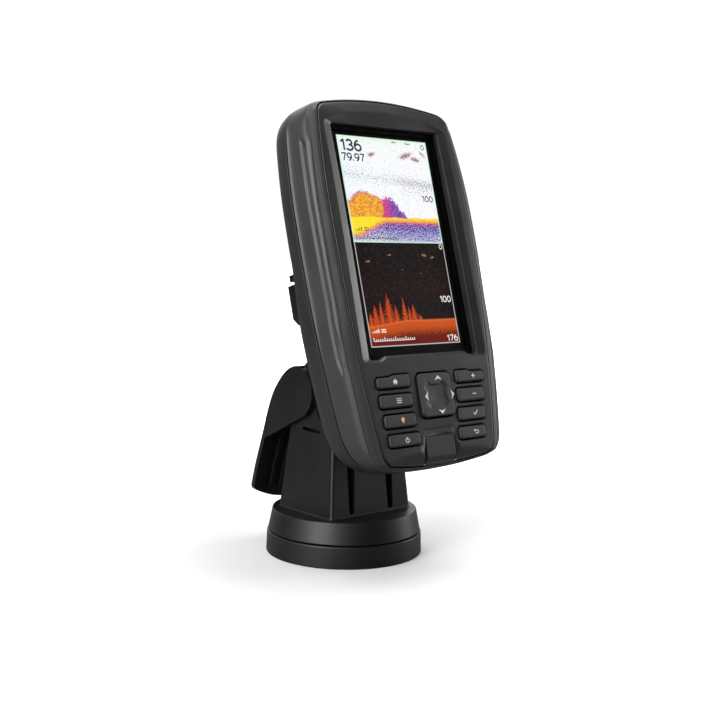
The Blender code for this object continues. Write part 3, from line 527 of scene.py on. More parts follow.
def ease(value, start, end):
    """Smooth step from 0 at start to 1 at end."""
    f = np.clip((value - start) / (end - start), 0, 1)
    return f * f * (3 - 2 * f)


def fillet(distance, radius):
    """How far a rounded edge has dropped at a distance inside it."""
    if distance >= radius:
        return 0.0
    return radius - math.sqrt(max(0.0, radius * radius - (radius - distance) ** 2))


class Sheet:
    """Flat points and lines to triangulate; each point may carry a drop below the surface."""

    def __init__(self):
        self.points, self.drops, self.edges = [], [], []

    def add_line(self, points, drop, closed=False):
        start, count = len(self.points), len(points)
        self.scatter(points, drop)
        self.edges += [(start + i, start + (i + 1) % count)
                       for i in range(count if closed else count - 1)]

    def add_loop(self, loop, drop):
        """Adds a closed loop without its repeated points and gives what was added."""
        clean = [loop[0]]
        for p in loop[1:]:
            if math.dist(p, clean[-1]) > 0.004:
                clean.append(p)
        if math.dist(clean[0], clean[-1]) < 0.004:
            clean.pop()
        self.add_line(clean, drop, closed=True)
        return clean

    def scatter(self, points, drop=None):
        self.points += points
        self.drops += [drop] * len(points)

    def triangulate(self):
        """x, y, drop (nan where none is set) and triangles."""
        found = geometry.delaunay_2d_cdt([Vector(p) for p in self.points], self.edges, [], 0, 1e-5)
        x, y = (np.array([v[k] for v in found[0]]) for k in (0, 1))
        drops = []
        for ids in found[3]:
            known = [self.drops[k] for k in ids if self.drops[k] is not None]
            drops.append(max(known) if known else math.nan)
        return x, y, np.array(drops), np.array([f for f in found[2] if len(f) == 3])


def thick_sheet(x, y, z, low, tri, least):
    """Solid between heights z and low; triangles of no more than the least area are dropped."""
    a, b, c = tri.T
    area = (x[b] - x[a]) * (y[c] - y[a]) - (x[c] - x[a]) * (y[b] - y[a])
    tri, area = tri[np.abs(area) > least], area[np.abs(area) > least]
    tri[area < 0] = tri[area < 0][:, ::-1]
    used = np.unique(tri)
    index = -np.ones(len(x), int)
    index[used] = np.arange(len(used))
    tri = index[tri].tolist()
    verts = np.concatenate([np.stack([x, y, level], 1)[used] for level in (z, low)])
    n = len(used)
    sides = {side: True for a, b, c in tri for side in ((a, b), (b, c), (c, a))}
    faces = [tuple(f) for f in tri] + [tuple(v + n for v in f[::-1]) for f in tri]
    faces += [(b, a, a + n, b + n) for a, b in sides if (b, a) not in sides]
    return as_mesh(verts, faces)


# ================================================================ the case outline
FACE_HALF, FACE_TOP, FACE_BOTTOM = 41.6, 63.8, -100.9
# how far the case grows from the face to its widest section
FLARE_SIDE, FLARE_GAIN, FLARE_TOP, FLARE_BOTTOM, BELLY = 7.4, 0.008, 2.3, 1.3, 1.3
# points along each side, along each end and round each corner
RIM_POINTS = (70, 30, 10)
REAR_POINTS = (60, 24, 10)


def half_width(y):
    d = y - 12.0
    return FACE_HALF - 0.00163 * d * d if d > 0 else FACE_HALF - 0.00057 * d * d - 9.4e-9 * d ** 4


def face_z(y):
    """Height of the face: bowed along y, falling faster at both ends."""
    d = y + 5.0
    z = 5.4 - (0.00039 if d > 0 else 0.00021) * d * d
    if y > 57.0:
        z -= 0.2 * (y - 57.0 + 0.75 * max(0.0, 1 - (y - 55.5) / 3.0))
    if y < -97.8:
        z -= 1.25 * (-97.8 - y)
    return z


def bend(p, q, control, count):
    """Points between p and q on a curve drawn towards control, ends left out."""
    return [tuple((1 - s) ** 2 * p[k] + 2 * s * (1 - s) * control[k] + s * s * q[k]
                  for k in (0, 1)) for s in [i / count for i in range(1, count)]]


def outline(flare, grow, sides=110, ends=36, corner=14):
    """Case outline, flare 0 at the face and 1 at its widest, moved outward by grow.

    It runs anticlockwise from the lower right."""
    top = FACE_TOP + FLARE_TOP * flare + grow
    low = FACE_BOTTOM - FLARE_BOTTOM * flare - grow
    top_radius = max(2.5, 4.5 + 7.5 * flare + (0.55 if grow > 0 else 0.3) * grow)
    low_radius = max(2.5, 6.0 + 13.0 * flare * flare + (0.45 if grow > 0 else 0.1) * grow)

    def wide(y):
        belly = BELLY * min(1.0, max(0.0, (-28.0 - y) / 26.0))
        return (half_width(y) + (FLARE_SIDE + FLARE_GAIN * max(0.0, 10.0 - y)) * flare + grow
                + belly * 4 * flare * (1 - flare))

    def top_y(x):
        return top - 0.0029 * x * x

    def low_y(x):
        return low + 0.0022 * x * x

    y_hi, y_lo = top_y(wide(top)) - top_radius, low_y(wide(low)) + low_radius
    w_hi, w_lo = wide(y_hi), wide(y_lo)
    x_hi, x_lo = w_hi - top_radius, w_lo - low_radius
    half = [(wide(y), y) for y in [y_lo + (y_hi - y_lo) * i / sides for i in range(sides + 1)]]
    half += bend(half[-1], (x_hi, top_y(x_hi)), (w_hi - 0.12 * top_radius, top_y(w_hi)), corner)
    half += [(x, top_y(x)) for x in [x_hi * (1 - i / ends * 2) for i in range(ends // 2)]]
    loop = half + [(0.0, top)] + [(-x, y) for x, y in reversed(half)]
    low_edge = [(x, low_y(x)) for x in [-x_lo + 2 * x_lo * i / ends for i in range(ends + 1)]]
    control = w_lo - 0.12 * low_radius, low_y(w_lo)
    loop += bend((-w_lo, y_lo), low_edge[0], (-control[0], control[1]), corner)
    return loop + low_edge + bend(low_edge[-1], (w_lo, y_lo), control, corner)


# ================================================================ side band
# flare, grow, z, share of the face's bow followed
BAND_STATIONS = (
    (0.0, 0.3, -0.3, 1.0), (0.2, 0.35, -0.6, 1.0), (0.42, 0.35, -2.0, 1.0),
    (0.66, 0.3, -4.6, 1.0), (0.86, 0.2, -7.6, 0.0), (1.0, 0.0, -9.4, 0.0),
)
# flare, grow, z of the rear lip and the inner wall
BAND_TAIL = (
    (1.0, -0.16, -9.58), (1.0, -0.45, -9.68), (1.0, -0.9, -9.76), (1.0, -3.6, -9.85),
    (0.5, -3.2, -3.6), (0.0, -2.0, -3.2), (0.0, -2.0, -1.5), (0.0, 0.0, -1.5),
)
BAND_DEPTH = 15.0  # turns flare into a distance across the band
# flare, y
FLUTE = (
    (0.74, 45.0), (0.63, 41.0), (0.635, 31.0), (0.645, 12.0), (0.65, -8.0), (0.65, -26.0),
    (0.64, -39.0), (0.56, -47.0), (0.53, -50.5), (0.54, -54.6), (0.68, -58.5), (0.725, -52.0),
    (0.735, -38.0), (0.73, -20.0), (0.73, -5.0), (0.735, 14.0), (0.735, 30.0),
)
RIDGE = (
    (0.52, 57.0), (0.55, 46.0), (0.44, 40.0), (0.47, 30.0), (0.50, 18.0), (0.505, 0.0),
    (0.51, -23.0), (0.515, -43.0), (0.47, -49.0), (0.49, -55.0), (0.45, -59.0), (0.46, -70.0),
    (0.46, -79.0), (0.47, -90.0),
)


def band_relief(across, x, y):
    """Height of the long flute and the fine ridge beside it."""
    flute, ridge = ([(BAND_DEPTH * a, b) for a, b in line] for line in (FLUTE, RIDGE))
    away = line_distance(across, y, flute)
    depth_in = np.where(inside(across, y, flute), away, -away)
    relief = -0.62 * ease(depth_in, -0.03, 0.36)
    away = line_distance(across, y, ridge, closed=False)
    away = np.where(y < -80.0, np.abs(across - 6.95), away)
    fade = ease(-y, -58.0, -52.0)
    relief = relief + 0.36 * np.exp(-(away / 0.34) ** 2) * fade
    # the surface is a touch hollow between the ridge and the face
    relief = relief - 0.22 * ease(across, 1.5, 4.0) * (1 - ease(across, 5.2, 7.4)) * fade
    return relief * ((np.abs(x) > 30.0) | (y < -80.0))


def build_band():
    rings, flares = [], []
    for at in np.concatenate([np.linspace(0, 1, 9)[:-1], np.linspace(1, 4, 84)[:-1],
                              np.linspace(4, 5, 9)]):
        flare, grow, level, follow = map(float, spline(BAND_STATIONS, at))
        rings.append([(x, y, level + follow * face_z(y)) for x, y in outline(flare, grow)])
        flares.append(flare)
    grid = np.array(rings)  # ring, point, xyz
    around = np.roll(grid, -1, 1) - np.roll(grid, 1, 1)
    normal = np.cross(around, np.gradient(grid, axis=0))
    normal /= np.linalg.norm(normal, axis=2, keepdims=True) + 1e-12
    normal *= np.sign((normal * (grid - grid.mean(axis=(0, 1)))).sum(axis=2).mean())
    across = np.repeat(np.array(flares)[:, None], grid.shape[1], 1) * BAND_DEPTH
    grid = grid + normal * band_relief(across, grid[:, :, 0], grid[:, :, 1])[:, :, None]
    loops = [list(map(tuple, ring)) for ring in grid]
    loops += [[(x, y, z) for x, y in outline(flare, grow)] for flare, grow, z in BAND_TAIL]
    return loft(loops, close=True)


piece("side_band", build_band(), "head", side_mat, ["mid_housing"], sharp=50)

# ================================================================ rear cover
# inset, z, how much z rises in the upper part
REAR_STATIONS = (
    (0.05, -11.05, 0), (0.12, -12.6, 0.15), (0.45, -15.0, 0.3), (1.5, -19.8, 1.2),
    (3.9, -24.6, 2.3), (8.6, -28.8, 2.3), (16.5, -32.2, 1.1), (24.0, -34.0, 0),
)
REAR_LIP = ((-3.4, -10.5), (-1.0, -10.52), (-0.45, -10.6), (-0.15, -10.8))  # grow, z
SCREWS = ((38.4, 47.0), (39.8, -22.0), (33.9, -84.0))  # x to either side, y


def build_rear():
    loops = [[(x, y, z) for x, y in outline(1.0, grow, *REAR_POINTS)] for grow, z in REAR_LIP]
    for at in np.linspace(0, 7, 29):
        inset, z, rise = map(float, spline(REAR_STATIONS, at))
        loops.append([(x, y, z + rise * ease(y, -38.0, -5.0))
                      for x, y in outline(1.0, -inset, *REAR_POINTS)])
    steps = [add(slab(round_box(-21.0, 21.0, -52.0, -3.0, 3.0, 6), -38.6, -33.0))]
    steps += [cut(rod("z", (side * x, y), 3.0, -45.0, -16.0, 32))
              for x, y in SCREWS for side in (-1, 1)]
    steps += [cut(box(-12.0, 12.0, -60.0, -9.0, -45.0, -36.4)),
              cut(box(-16.0, 16.0, -60.0, -9.0, -37.2, -34.4)),
              cut(box(-8.3, 8.3, -42.3, -27.7, -36.0, -28.0)),
              cut(rod("z", (0.0, 26.0), 3.6, -40.0, -33.2, 40))]
    # shallow recess for a label, and three cooling grooves below it on each side
    steps.append(cut(slab(round_box(-17.0, 17.0, 34.0, 50.0, 2.0, 6), -40.0, -33.75)))
    for k in range(3):
        for x0, x1 in ((-21.0, -12.5), (12.5, 21.0)):
            groove = round_box(x0, x1, 3.2 + 4.0 * k, 4.6 + 4.0 * k, 0.65, 4)
            steps.append(cut(slab(groove, -40.0, -33.1)))
    return worked(loft(loops), steps)


piece("rear_shell", build_rear(), "head", rear_mat, ["rear_cover"], sharp=32)

# ================================================================ front bezel
# half widths of the window at top and bottom, and its ends in y
WINDOW_TOP_HALF, WINDOW_LOW_HALF, WINDOW_LOW, WINDOW_TOP = 32.0, 32.7, -53.6, 51.5
# name, x0, x1, y0, y1
KEYS = (
    ("key_home", -31.9, -13.2, -66.2, -60.7),
    ("key_menu", -31.6, -13.2, -74.6, -69.0),
    ("key_mark", -30.7, -12.8, -83.1, -77.6),
    ("key_power", -29.6, -12.0, -91.3, -86.0),
    ("key_plus", 14.9, 32.2, -66.4, -60.9),
    ("key_minus", 14.3, 31.0, -75.0, -69.1),
    ("key_select", 13.3, 29.9, -83.4, -77.7),
    ("key_back", 12.2, 28.3, -91.6, -86.2),
)
PAD_X, PAD_Y, PAD_HALF, PAD_CORNER = 1.1, -70.7, 9.6, 2.3  # direction pad
DOOR_LEFT, DOOR_RIGHT, DOOR_TOP = -8.2, 8.6, -88.4  # card door
EDGE_STEPS = (0.0, 0.03, 0.1, 0.22, 0.4, 0.6)  # distances across a rounded edge
# x and drop of the shoulder in the top edge of the home key; the plus key mirrors it
SHOULDER = [(-22.0, 0.0), (-22.4, 0.05), (-24.2, 0.8), (-24.7, 0.85)]
SHOULDERS = {"key_home": SHOULDER, "key_plus": [(-x, drop) for x, drop in reversed(SHOULDER)]}


def key_outline(name, x0, x1, y0, y1, grow, n=7):
    x0, x1, y0, y1 = x0 - grow, x1 + grow, y0 - grow, y1 + grow
    r = max(0.25, 1.3 + grow * (0.6 if grow > 0 else 0.9))
    shoulder = SHOULDERS.get(name, [])
    right, left = (shoulder[0][1], shoulder[-1][1]) if shoulder else (0.0, 0.0)
    return (arc(x1 - r, y1 - right - r, r, 0, 90, n) + [(x, y1 - drop) for x, drop in shoulder]
            + arc(x0 + r, y1 - left - r, r, 90, 180, n)
            + arc(x0 + r, y0 + r, r, 180, 270, n) + arc(x1 - r, y0 + r, r, 270, 360, n))


def pad_outline(grow, radius, n=10):
    return round_box(PAD_X - PAD_HALF - grow, PAD_X + PAD_HALF + grow,
                     PAD_Y - PAD_HALF - grow, PAD_Y + PAD_HALF + grow, radius, n)


def window_loop(spread, out=0.0):
    """Window outline; spread 0 is the inner edge by the glass, 1 the crease on the face."""
    low_half = WINDOW_LOW_HALF + 4.4 * spread + out
    top_half = WINDOW_TOP_HALF + 4.4 * spread + out
    r = 1.5 + 1.5 * spread
    y_low = WINDOW_LOW - 1.2 * spread - out

    def arch(x):
        return WINDOW_TOP + spread * (58.1 - 0.0039 * x * x - WINDOW_TOP) + out

    y_high = arch(top_half)
    side = [(low_half + (top_half - low_half) * (y - WINDOW_LOW) / (WINDOW_TOP - WINDOW_LOW), y)
            for y in [-49.0 + 92.0 * i / 30 for i in range(31)]]
    # the lower edge steps up in the middle
    foot = [(low_half - r, y_low), (27.5, y_low), (26.6, y_low + 0.06),
            (24.0, y_low + 1.44), (23.2, y_low + 1.5)]
    return ([(-x, y) for x, y in foot] + [(x, y_low + 1.5) for x in range(-20, 21, 4)]
            + foot[::-1] + arc(low_half - r, y_low + r, r, 270, 360, 8)[1:] + side
            + arc(top_half - r, y_high - r, r, 0, 90, 8)
            + [(x, arch(x)) for x in [29.0 - 58.0 * i / 24 for i in range(1, 24)]]
            + arc(-top_half + r, y_high - r, r, 90, 180, 8) + [(-x, y) for x, y in side[::-1]]
            + arc(-low_half + r, y_low + r, r, 180, 270, 8)[:-1])


RIM_RADIUS, HOLE_RADIUS, NOTCH_RADIUS = 0.55, 0.4, 0.12  # edge roundings of the bezel
KEY_GAP, PAD_GAP, DOOR_GAP = 0.58, 0.68, 0.14
# spread, drop down the slope to the window
WINDOW_SLOPE = ((0.0, 1.06), (0.02, 0.96), (0.06, 0.88), (0.3, 0.64), (0.6, 0.37), (0.92, 0.08),
                (1.0, 0.025), (1.08, 0.0))


def build_bezel():
    sheet = Sheet()

    def nest(shape, steps, radius):
        """Loops stepping in from an edge; gives the edge itself."""
        return [sheet.add_loop(shape(d), fillet(d, radius)) for d in steps][0]

    rim = nest(lambda d: outline(0.0, -0.34 - d, *RIM_POINTS),
               (0.0, 0.03, 0.12, 0.28, 0.55, 0.85), RIM_RADIUS)
    holes = [nest(lambda d: key_outline(*key, KEY_GAP + d), EDGE_STEPS, HOLE_RADIUS)
             for key in KEYS]
    holes.append(nest(lambda d: pad_outline(PAD_GAP + d, PAD_CORNER + (PAD_GAP + d) * 0.6),
                      EDGE_STEPS, HOLE_RADIUS))
    holes.append([sheet.add_loop(window_loop(spread), drop) for spread, drop in WINDOW_SLOPE][0])

    # notch for the card door, open at the lower edge, and the fine groove round its lip
    left, right, top = DOOR_LEFT - DOOR_GAP, DOOR_RIGHT + DOOR_GAP, DOOR_TOP + DOOR_GAP
    for d, low, high, drop in ((0.0, -104.0, top, None), (0.04, -104.0, top, None),
                               (NOTCH_RADIUS, -104.0, top, None), (-0.2, -88.0, -85.4, None),
                               (0.0, -88.0, -85.4, 0.3), (0.2, -88.0, -85.4, None)):
        sheet.add_line([(left - d, low), (left - d, high + d),
                        (right + d, high + d), (right + d, low)], drop)

    # loose points keep the bowed face even; they stay clear of every edge
    x, y = np.meshgrid(np.arange(-40.0, 40.5, 2.5), np.arange(-99.0, 64.0, 2.5))
    x, y = x.ravel(), y.ravel()
    free = inside(x, y, outline(0.0, -1.5, 40, 20, 6))
    for loop in ([window_loop(1.08, 0.9), pad_outline(1.7, PAD_CORNER, 8)]
                 + [key_outline(*key, 1.6) for key in KEYS]):
        free &= ~inside(x, y, loop)
    sheet.scatter(list(zip(x[free].tolist(), y[free].tolist())))

    x, y, drops, tri = sheet.triangulate()
    rim_away = line_distance(x, y, rim)
    notch_away = np.maximum(np.maximum(left - x, x - right), y - top)
    z = np.zeros(len(x))
    for i, drop in enumerate(drops):
        if math.isnan(drop):
            drop = fillet(max(0.0, rim_away[i]), RIM_RADIUS)
        if -0.01 < notch_away[i] < NOTCH_RADIUS:
            drop += fillet(max(0.0, float(notch_away[i])), NOTCH_RADIUS)
        z[i] = face_z(y[i]) - drop
    cx, cy = x[tri].mean(1), y[tri].mean(1)
    keep = inside(cx, cy, rim) & ~((cx > left) & (cx < right) & (cy < top))
    for hole in holes:
        keep &= ~inside(cx, cy, hole)
    return thick_sheet(x, y, z, np.full(len(x), -1.2), tri[keep], least=1e-7)


piece("bezel", build_bezel(), "head", case_mat, ["front_bezel"], sharp=55)

# painted shade: a near-black strip down in the seam between bezel and band: grow, z from the face
SEAM = ((-0.315, -1.6), (-0.315, -0.86), (-0.05, -0.8), (0.2, -0.86), (0.1, -1.6))
rings = [[(x, y, face_z(y) + dz) for x, y in outline(0.0, grow, *RIM_POINTS)] for grow, dz in SEAM]
piece("seam_shade_strip", loft(rings, close=True), "head", shade_black_mat, sharp=50)
# and the same painted-shade strip in the seam between band and rear cover: grow, z
REAR_SEAM = ((-1.1, -9.9), (-1.1, -10.45), (-3.0, -10.45), (-3.0, -9.9))
rings = [[(x, y, z) for x, y in outline(1.0, grow, *REAR_POINTS)] for grow, z in REAR_SEAM]
piece("rear_seam_shade_strip", loft(rings, close=True), "head", shade_black_mat, sharp=50)

# floor seen at the bottom of the key and pad gaps, coloured near-black as painted shade in the gaps
web = worked(slab(round_box(-33.4, 33.6, -95.0, -58.2, 2.5), -0.85, -0.6),
             [cut(rod("z", (PAD_X, PAD_Y), 6.5, -3.0, 2.0))])
piece("keypad_web", web, "head", shade_black_mat, ["key_mat"])

# ================================================================ keys
KEY_RISE, PAD_RISE = 1.1, 1.3  # tops above the face
# grow, depth below the key's top
KEY_EDGE = ((0.0, 0.9), (-0.04, 0.6), (-0.14, 0.36), (-0.32, 0.17), (-0.6, 0.05), (-0.95, 0.0))
key_tops = {key[0]: face_z((key[3] + key[4]) / 2) + KEY_RISE for key in KEYS}

for key in KEYS:
    levels = [(0.0, 0.3)] + [(grow, key_tops[key[0]] - depth) for grow, depth in KEY_EDGE]
    cap = loft([[(x, y, z) for x, y in key_outline(*key, grow)] for grow, z in levels])
    piece(key[0] + "_cap", cap, key[0] + "_body", key_mat, [key[0]], sharp=60)


def icon(name, polys, at, z, body, ink):
    """Printed mark: thin prisms standing a hair above a key."""
    parts = [slab([(at[0] + x, at[1] + y) for x, y in poly], z - 0.02, z + 0.03) for poly in polys]
    piece(name, joined(parts), body, ink, sharp=30)


def stroke(a, b, width):
    """Outline of a straight stroke from a to b."""
    along = Vector((b[0] - a[0], b[1] - a[1])).normalized()
    nx, ny = -along.y * width / 2, along.x * width / 2
    return [(a[0] + nx, a[1] + ny), (a[0] - nx, a[1] - ny),
            (b[0] - nx, b[1] - ny), (b[0] + nx, b[1] + ny)]


def ring_part(radius, width, start, end, count):
    return (arc(0, 0, radius + width / 2, start, end, count)
            + arc(0, 0, radius - width / 2, end, start, count))


ROOF = [(-1.5, -0.1), (0.0, 1.25), (1.5, -0.1), (1.15, -0.1), (0.0, 0.93), (-1.15, -0.1)]
WALLS = [(-0.95, -1.15), (-0.95, -0.05), (0.0, 0.75), (0.95, -0.05), (0.95, -1.15),
         (0.32, -1.15), (0.32, -0.45), (-0.32, -0.45), (-0.32, -1.15)]
# mark, key, centre, ink, outlines
KEY_MARKS = (
    ("home", "home", (-22.0, -63.6), white_ink, [ROOF, WALLS]),
    ("menu", "menu", (-21.3, -71.8), white_ink,
     [stroke((-1.4, y), (1.4, y), 0.34) for y in (0.85, 0.0, -0.85)]),
    ("waypoint", "mark", (-20.8, -80.3), amber_ink,
     [arc(0, 0.35, 0.95, -35, 215, 14) + [(0.0, -1.35)]]),
    ("power", "power", (-19.9, -88.9), white_ink,
     [ring_part(0.95, 0.3, 125, 415, 22), stroke((0, 0.15), (0, 1.35), 0.3)]),
    ("plus", "plus", (25.3, -63.9), white_ink,
     [stroke((-1.05, 0), (1.05, 0), 0.36), stroke((0, 0.18), (0, 1.05), 0.36),
      stroke((0, -1.05), (0, -0.18), 0.36)]),
    ("minus", "minus", (24.5, -72.0), white_ink, [stroke((-1.05, 0), (1.05, 0), 0.36)]),
    ("select", "select", (23.4, -80.5), white_ink,
     [stroke((-1.3, 0.0), (-0.35, -0.95), 0.36), stroke((-0.47, -0.93), (1.35, 0.95), 0.36)]),
    ("back", "back", (22.1, -88.9), white_ink,
     [stroke((-0.9, 0.45), (0.7, 0.45), 0.32),
      [(x + 0.7, y - 0.18) for x, y in ring_part(0.63, 0.32, -90, 90, 10)],
      stroke((0.7, -0.81), (-0.6, -0.81), 0.32), [(-1.5, 0.45), (-0.7, 1.15), (-0.7, -0.25)]]),
)
for mark, key, at, ink, polys in KEY_MARKS:
    icon("mark_" + mark, polys, at, key_tops["key_" + key], f"key_{key}_body", ink)

# ================================================================ direction pad
PAD_TOP = face_z(PAD_Y) + PAD_RISE


def build_pad():
    sheet = Sheet()
    rim = [sheet.add_loop(pad_outline(-d, max(0.6, PAD_CORNER - d * 0.9)), fillet(d, 0.6))
           for d in EDGE_STEPS + (0.8,)][0]
    columns, rows = (np.arange(middle - PAD_HALF + 1.0, middle + PAD_HALF - 0.9, 0.3).tolist()
                     for middle in (PAD_X, PAD_Y))
    sheet.scatter([(x, y) for y in rows for x in columns])
    x, y, drops, tri = sheet.triangulate()
    ax, ay = np.abs(x - PAD_X), np.abs(y - PAD_Y)
    octagon = np.maximum(np.maximum(ax / 7.6, ay / 7.4), (ax + ay) / 11.6)
    dish = 0.5 * (1 - ease(octagon, 0.70, 1.0)) + 0.2 * np.clip(1 - octagon / 0.72, 0, 1)
    # four lands carry the arrowheads, the upper and lower ones with crisp edges
    land = np.clip((ay - 4.25 - np.maximum(0, ax - 2.5) * 0.75) / 0.35, 0, 1)
    side_land = ease(ax - 4.6 - np.maximum(0, ay - 1.8) * 0.9, 0.0, 1.6)
    dish = dish * (1 - land) * (1 - side_land)
    z = PAD_TOP - np.where(np.isnan(drops), dish, drops)
    # a blind socket underneath takes the pivot's nub
    low = np.where(np.hypot(x - PAD_X, y - PAD_Y) < 2.8, 2.5, 1.0)
    tri = tri[inside(x[tri].mean(1), y[tri].mean(1), rim)]
    return thick_sheet(x, y, z, low, tri, least=1e-8)


piece("dpad_top", build_pad(), "dpad", key_mat, ["dpad_cap"], sharp=60)
# name, centre, outline
ARROWS = (
    ("arrow_up", (3.2, -63.5), [(-2.1, -0.95), (0.0, 1.1), (2.1, -0.95), (0.0, -0.35)]),
    ("arrow_down", (2.6, -78.4), [(2.1, 0.95), (0.0, -1.1), (-2.1, 0.95), (0.0, 0.35)]),
    ("arrow_left", (-5.1, -71.3), [(0.95, 2.0), (-1.1, 0.0), (0.95, -2.0), (0.2, 0.0)]),
    ("arrow_right", (10.5, -71.3), [(-0.95, -2.0), (1.1, 0.0), (-0.95, 2.0), (-0.2, 0.0)]),
)
for name, at, arrow in ARROWS:
    icon(name, [arrow], at, PAD_TOP, "dpad", white_ink)

# ================================================================ card door
HINGE = (-100.0, 1.15)  # y, z
# swell of the section and distance from the door's end
DOOR_ENDS = ((0.12, 0.0), (0.04, 0.04), (0.0, 0.12), (0.0, 0.5))


def build_door():
    profile = [(DOOR_TOP + 0.02, 2.3)]
    # y, height over the face
    profile += [(y, face_z(y) + rise) for y, rise in (
        (DOOR_TOP, -0.2), (DOOR_TOP - 0.5, 0.02), (-91.0, 0.02), (-94.0, 0.02), (-97.0, 0.0),
        (-97.7, -0.02), (-98.0, 0.02), (-98.9, 0.04))]
    profile.insert(2, (DOOR_TOP - 0.15, face_z(DOOR_TOP) - 0.04))
    profile += arc(*HINGE, 0.9, 62, 270, 14) + [(-98.9, 0.6), (-97.4, 2.0)]
    left = [(swell, DOOR_LEFT + inset) for swell, inset in DOOR_ENDS]
    right = [(swell, DOOR_LEFT + DOOR_RIGHT - x) for swell, x in reversed(left)]
    rings = []
    for swell, x in left + [(0.0, 0.0)] + right:
        ring = []
        for i, (y, z) in enumerate(profile):
            (ya, za), (yb, zb) = profile[i - 1], profile[(i + 1) % len(profile)]
            length = math.hypot(yb - ya, zb - za) or 1.0
            ring.append((x, y + swell * (zb - za) / length * 0.7,
                         z + swell * (yb - ya) / length * 0.7))
        rings.append(ring)
    bore = rod("x", HINGE, 0.56, DOOR_LEFT - 1.0, DOOR_RIGHT + 1.0, 28)
    return worked(loft(rings), [cut(bore)])


piece("card_door_cover", build_door(), "door", case_mat, ["card_door"], sharp=40)
pin = rod("x", HINGE, 0.38, DOOR_LEFT - 1.6, DOOR_RIGHT + 1.6, 24)
piece("door_hinge_rod", pin, "head", steel_mat, ["card_door_pin"], sharp=40)

# ================================================================ picture
# Places in the picture are millimetres from its centre: x -27 to 27, y -47.5 to 47.5.
# centre x, y, spread x, y, slope and, where weaker, strength of soft patches
UPPER_SCHOOLS = (
    (-8.2, 39.6, 2.9, 1.3, 0.25), (12.6, 40.2, 5.2, 1.8, 0.28), (18.4, 38.7, 3.6, 1.5, -0.2),
    (6.6, 46.2, 2.2, 0.5, 0.0), (15.0, 46.0, 2.5, 0.5, 0.0), (23.5, 41.5, 2.5, 1.6, -0.6, 0.8),
)
LOWER_SCHOOLS = (
    (-20.8, -9.6, 2.2, 0.7, 0.1), (-7.5, -6.6, 1.8, 0.6, 0.2), (13.5, -6.6, 2.4, 1.0, -0.2),
    (18.5, -7.6, 1.8, 0.8, 0.2), (-1.3, -13.4, 1.0, 0.7, 0.0, 0.8),
    (9.7, -15.0, 0.9, 0.6, 0.0, 0.8), (19.0, -21.0, 2.0, 1.6, 0.0, 0.62),
)
# centre x, y, radius x, y
TREE_BLOBS = ((-17.0, 13.0, 9.5, 9.4), (-25.0, 11.0, 7.0, 7.0), (-10.5, 15.0, 4.6, 5.6))
BUSH_BLOBS = ((-3.0, 12.0, 6.6, 8.2), (2.0, 10.0, 5.4, 4.2))
# centre x, tip y, half width at the foot
WEEDS = (
    (-13.4, -24.0, 5.6), (-18.0, -27.5, 3.6), (-21.5, -29.0, 4.4), (-24.5, -32.5, 3.2),
    (-9.3, -29.0, 3.6), (-4.2, -25.8, 3.4), (1.2, -28.8, 4.2), (4.8, -33.5, 3.2),
    (-1.4, -30.0, 2.6),
)


def schools(x, y, table):
    def school(cx, cy, spread_x, spread_y, slope, strength=None):
        dx, dy = x - cx, y - cy - (x - cx) * slope
        body = (-((dx / spread_x).pow(2.0) + (dy / spread_y).pow(2.0))).exp()
        return body * strength if strength else body

    return highest([school(*row) for row in table])


def blobs(x, y, table):
    """Positive inside a group of ellipses."""
    return highest([1.0 - ((x - cx) / rx).pow(2.0) - ((y - cy) / ry).pow(2.0)
                    for cx, cy, rx, ry in table])


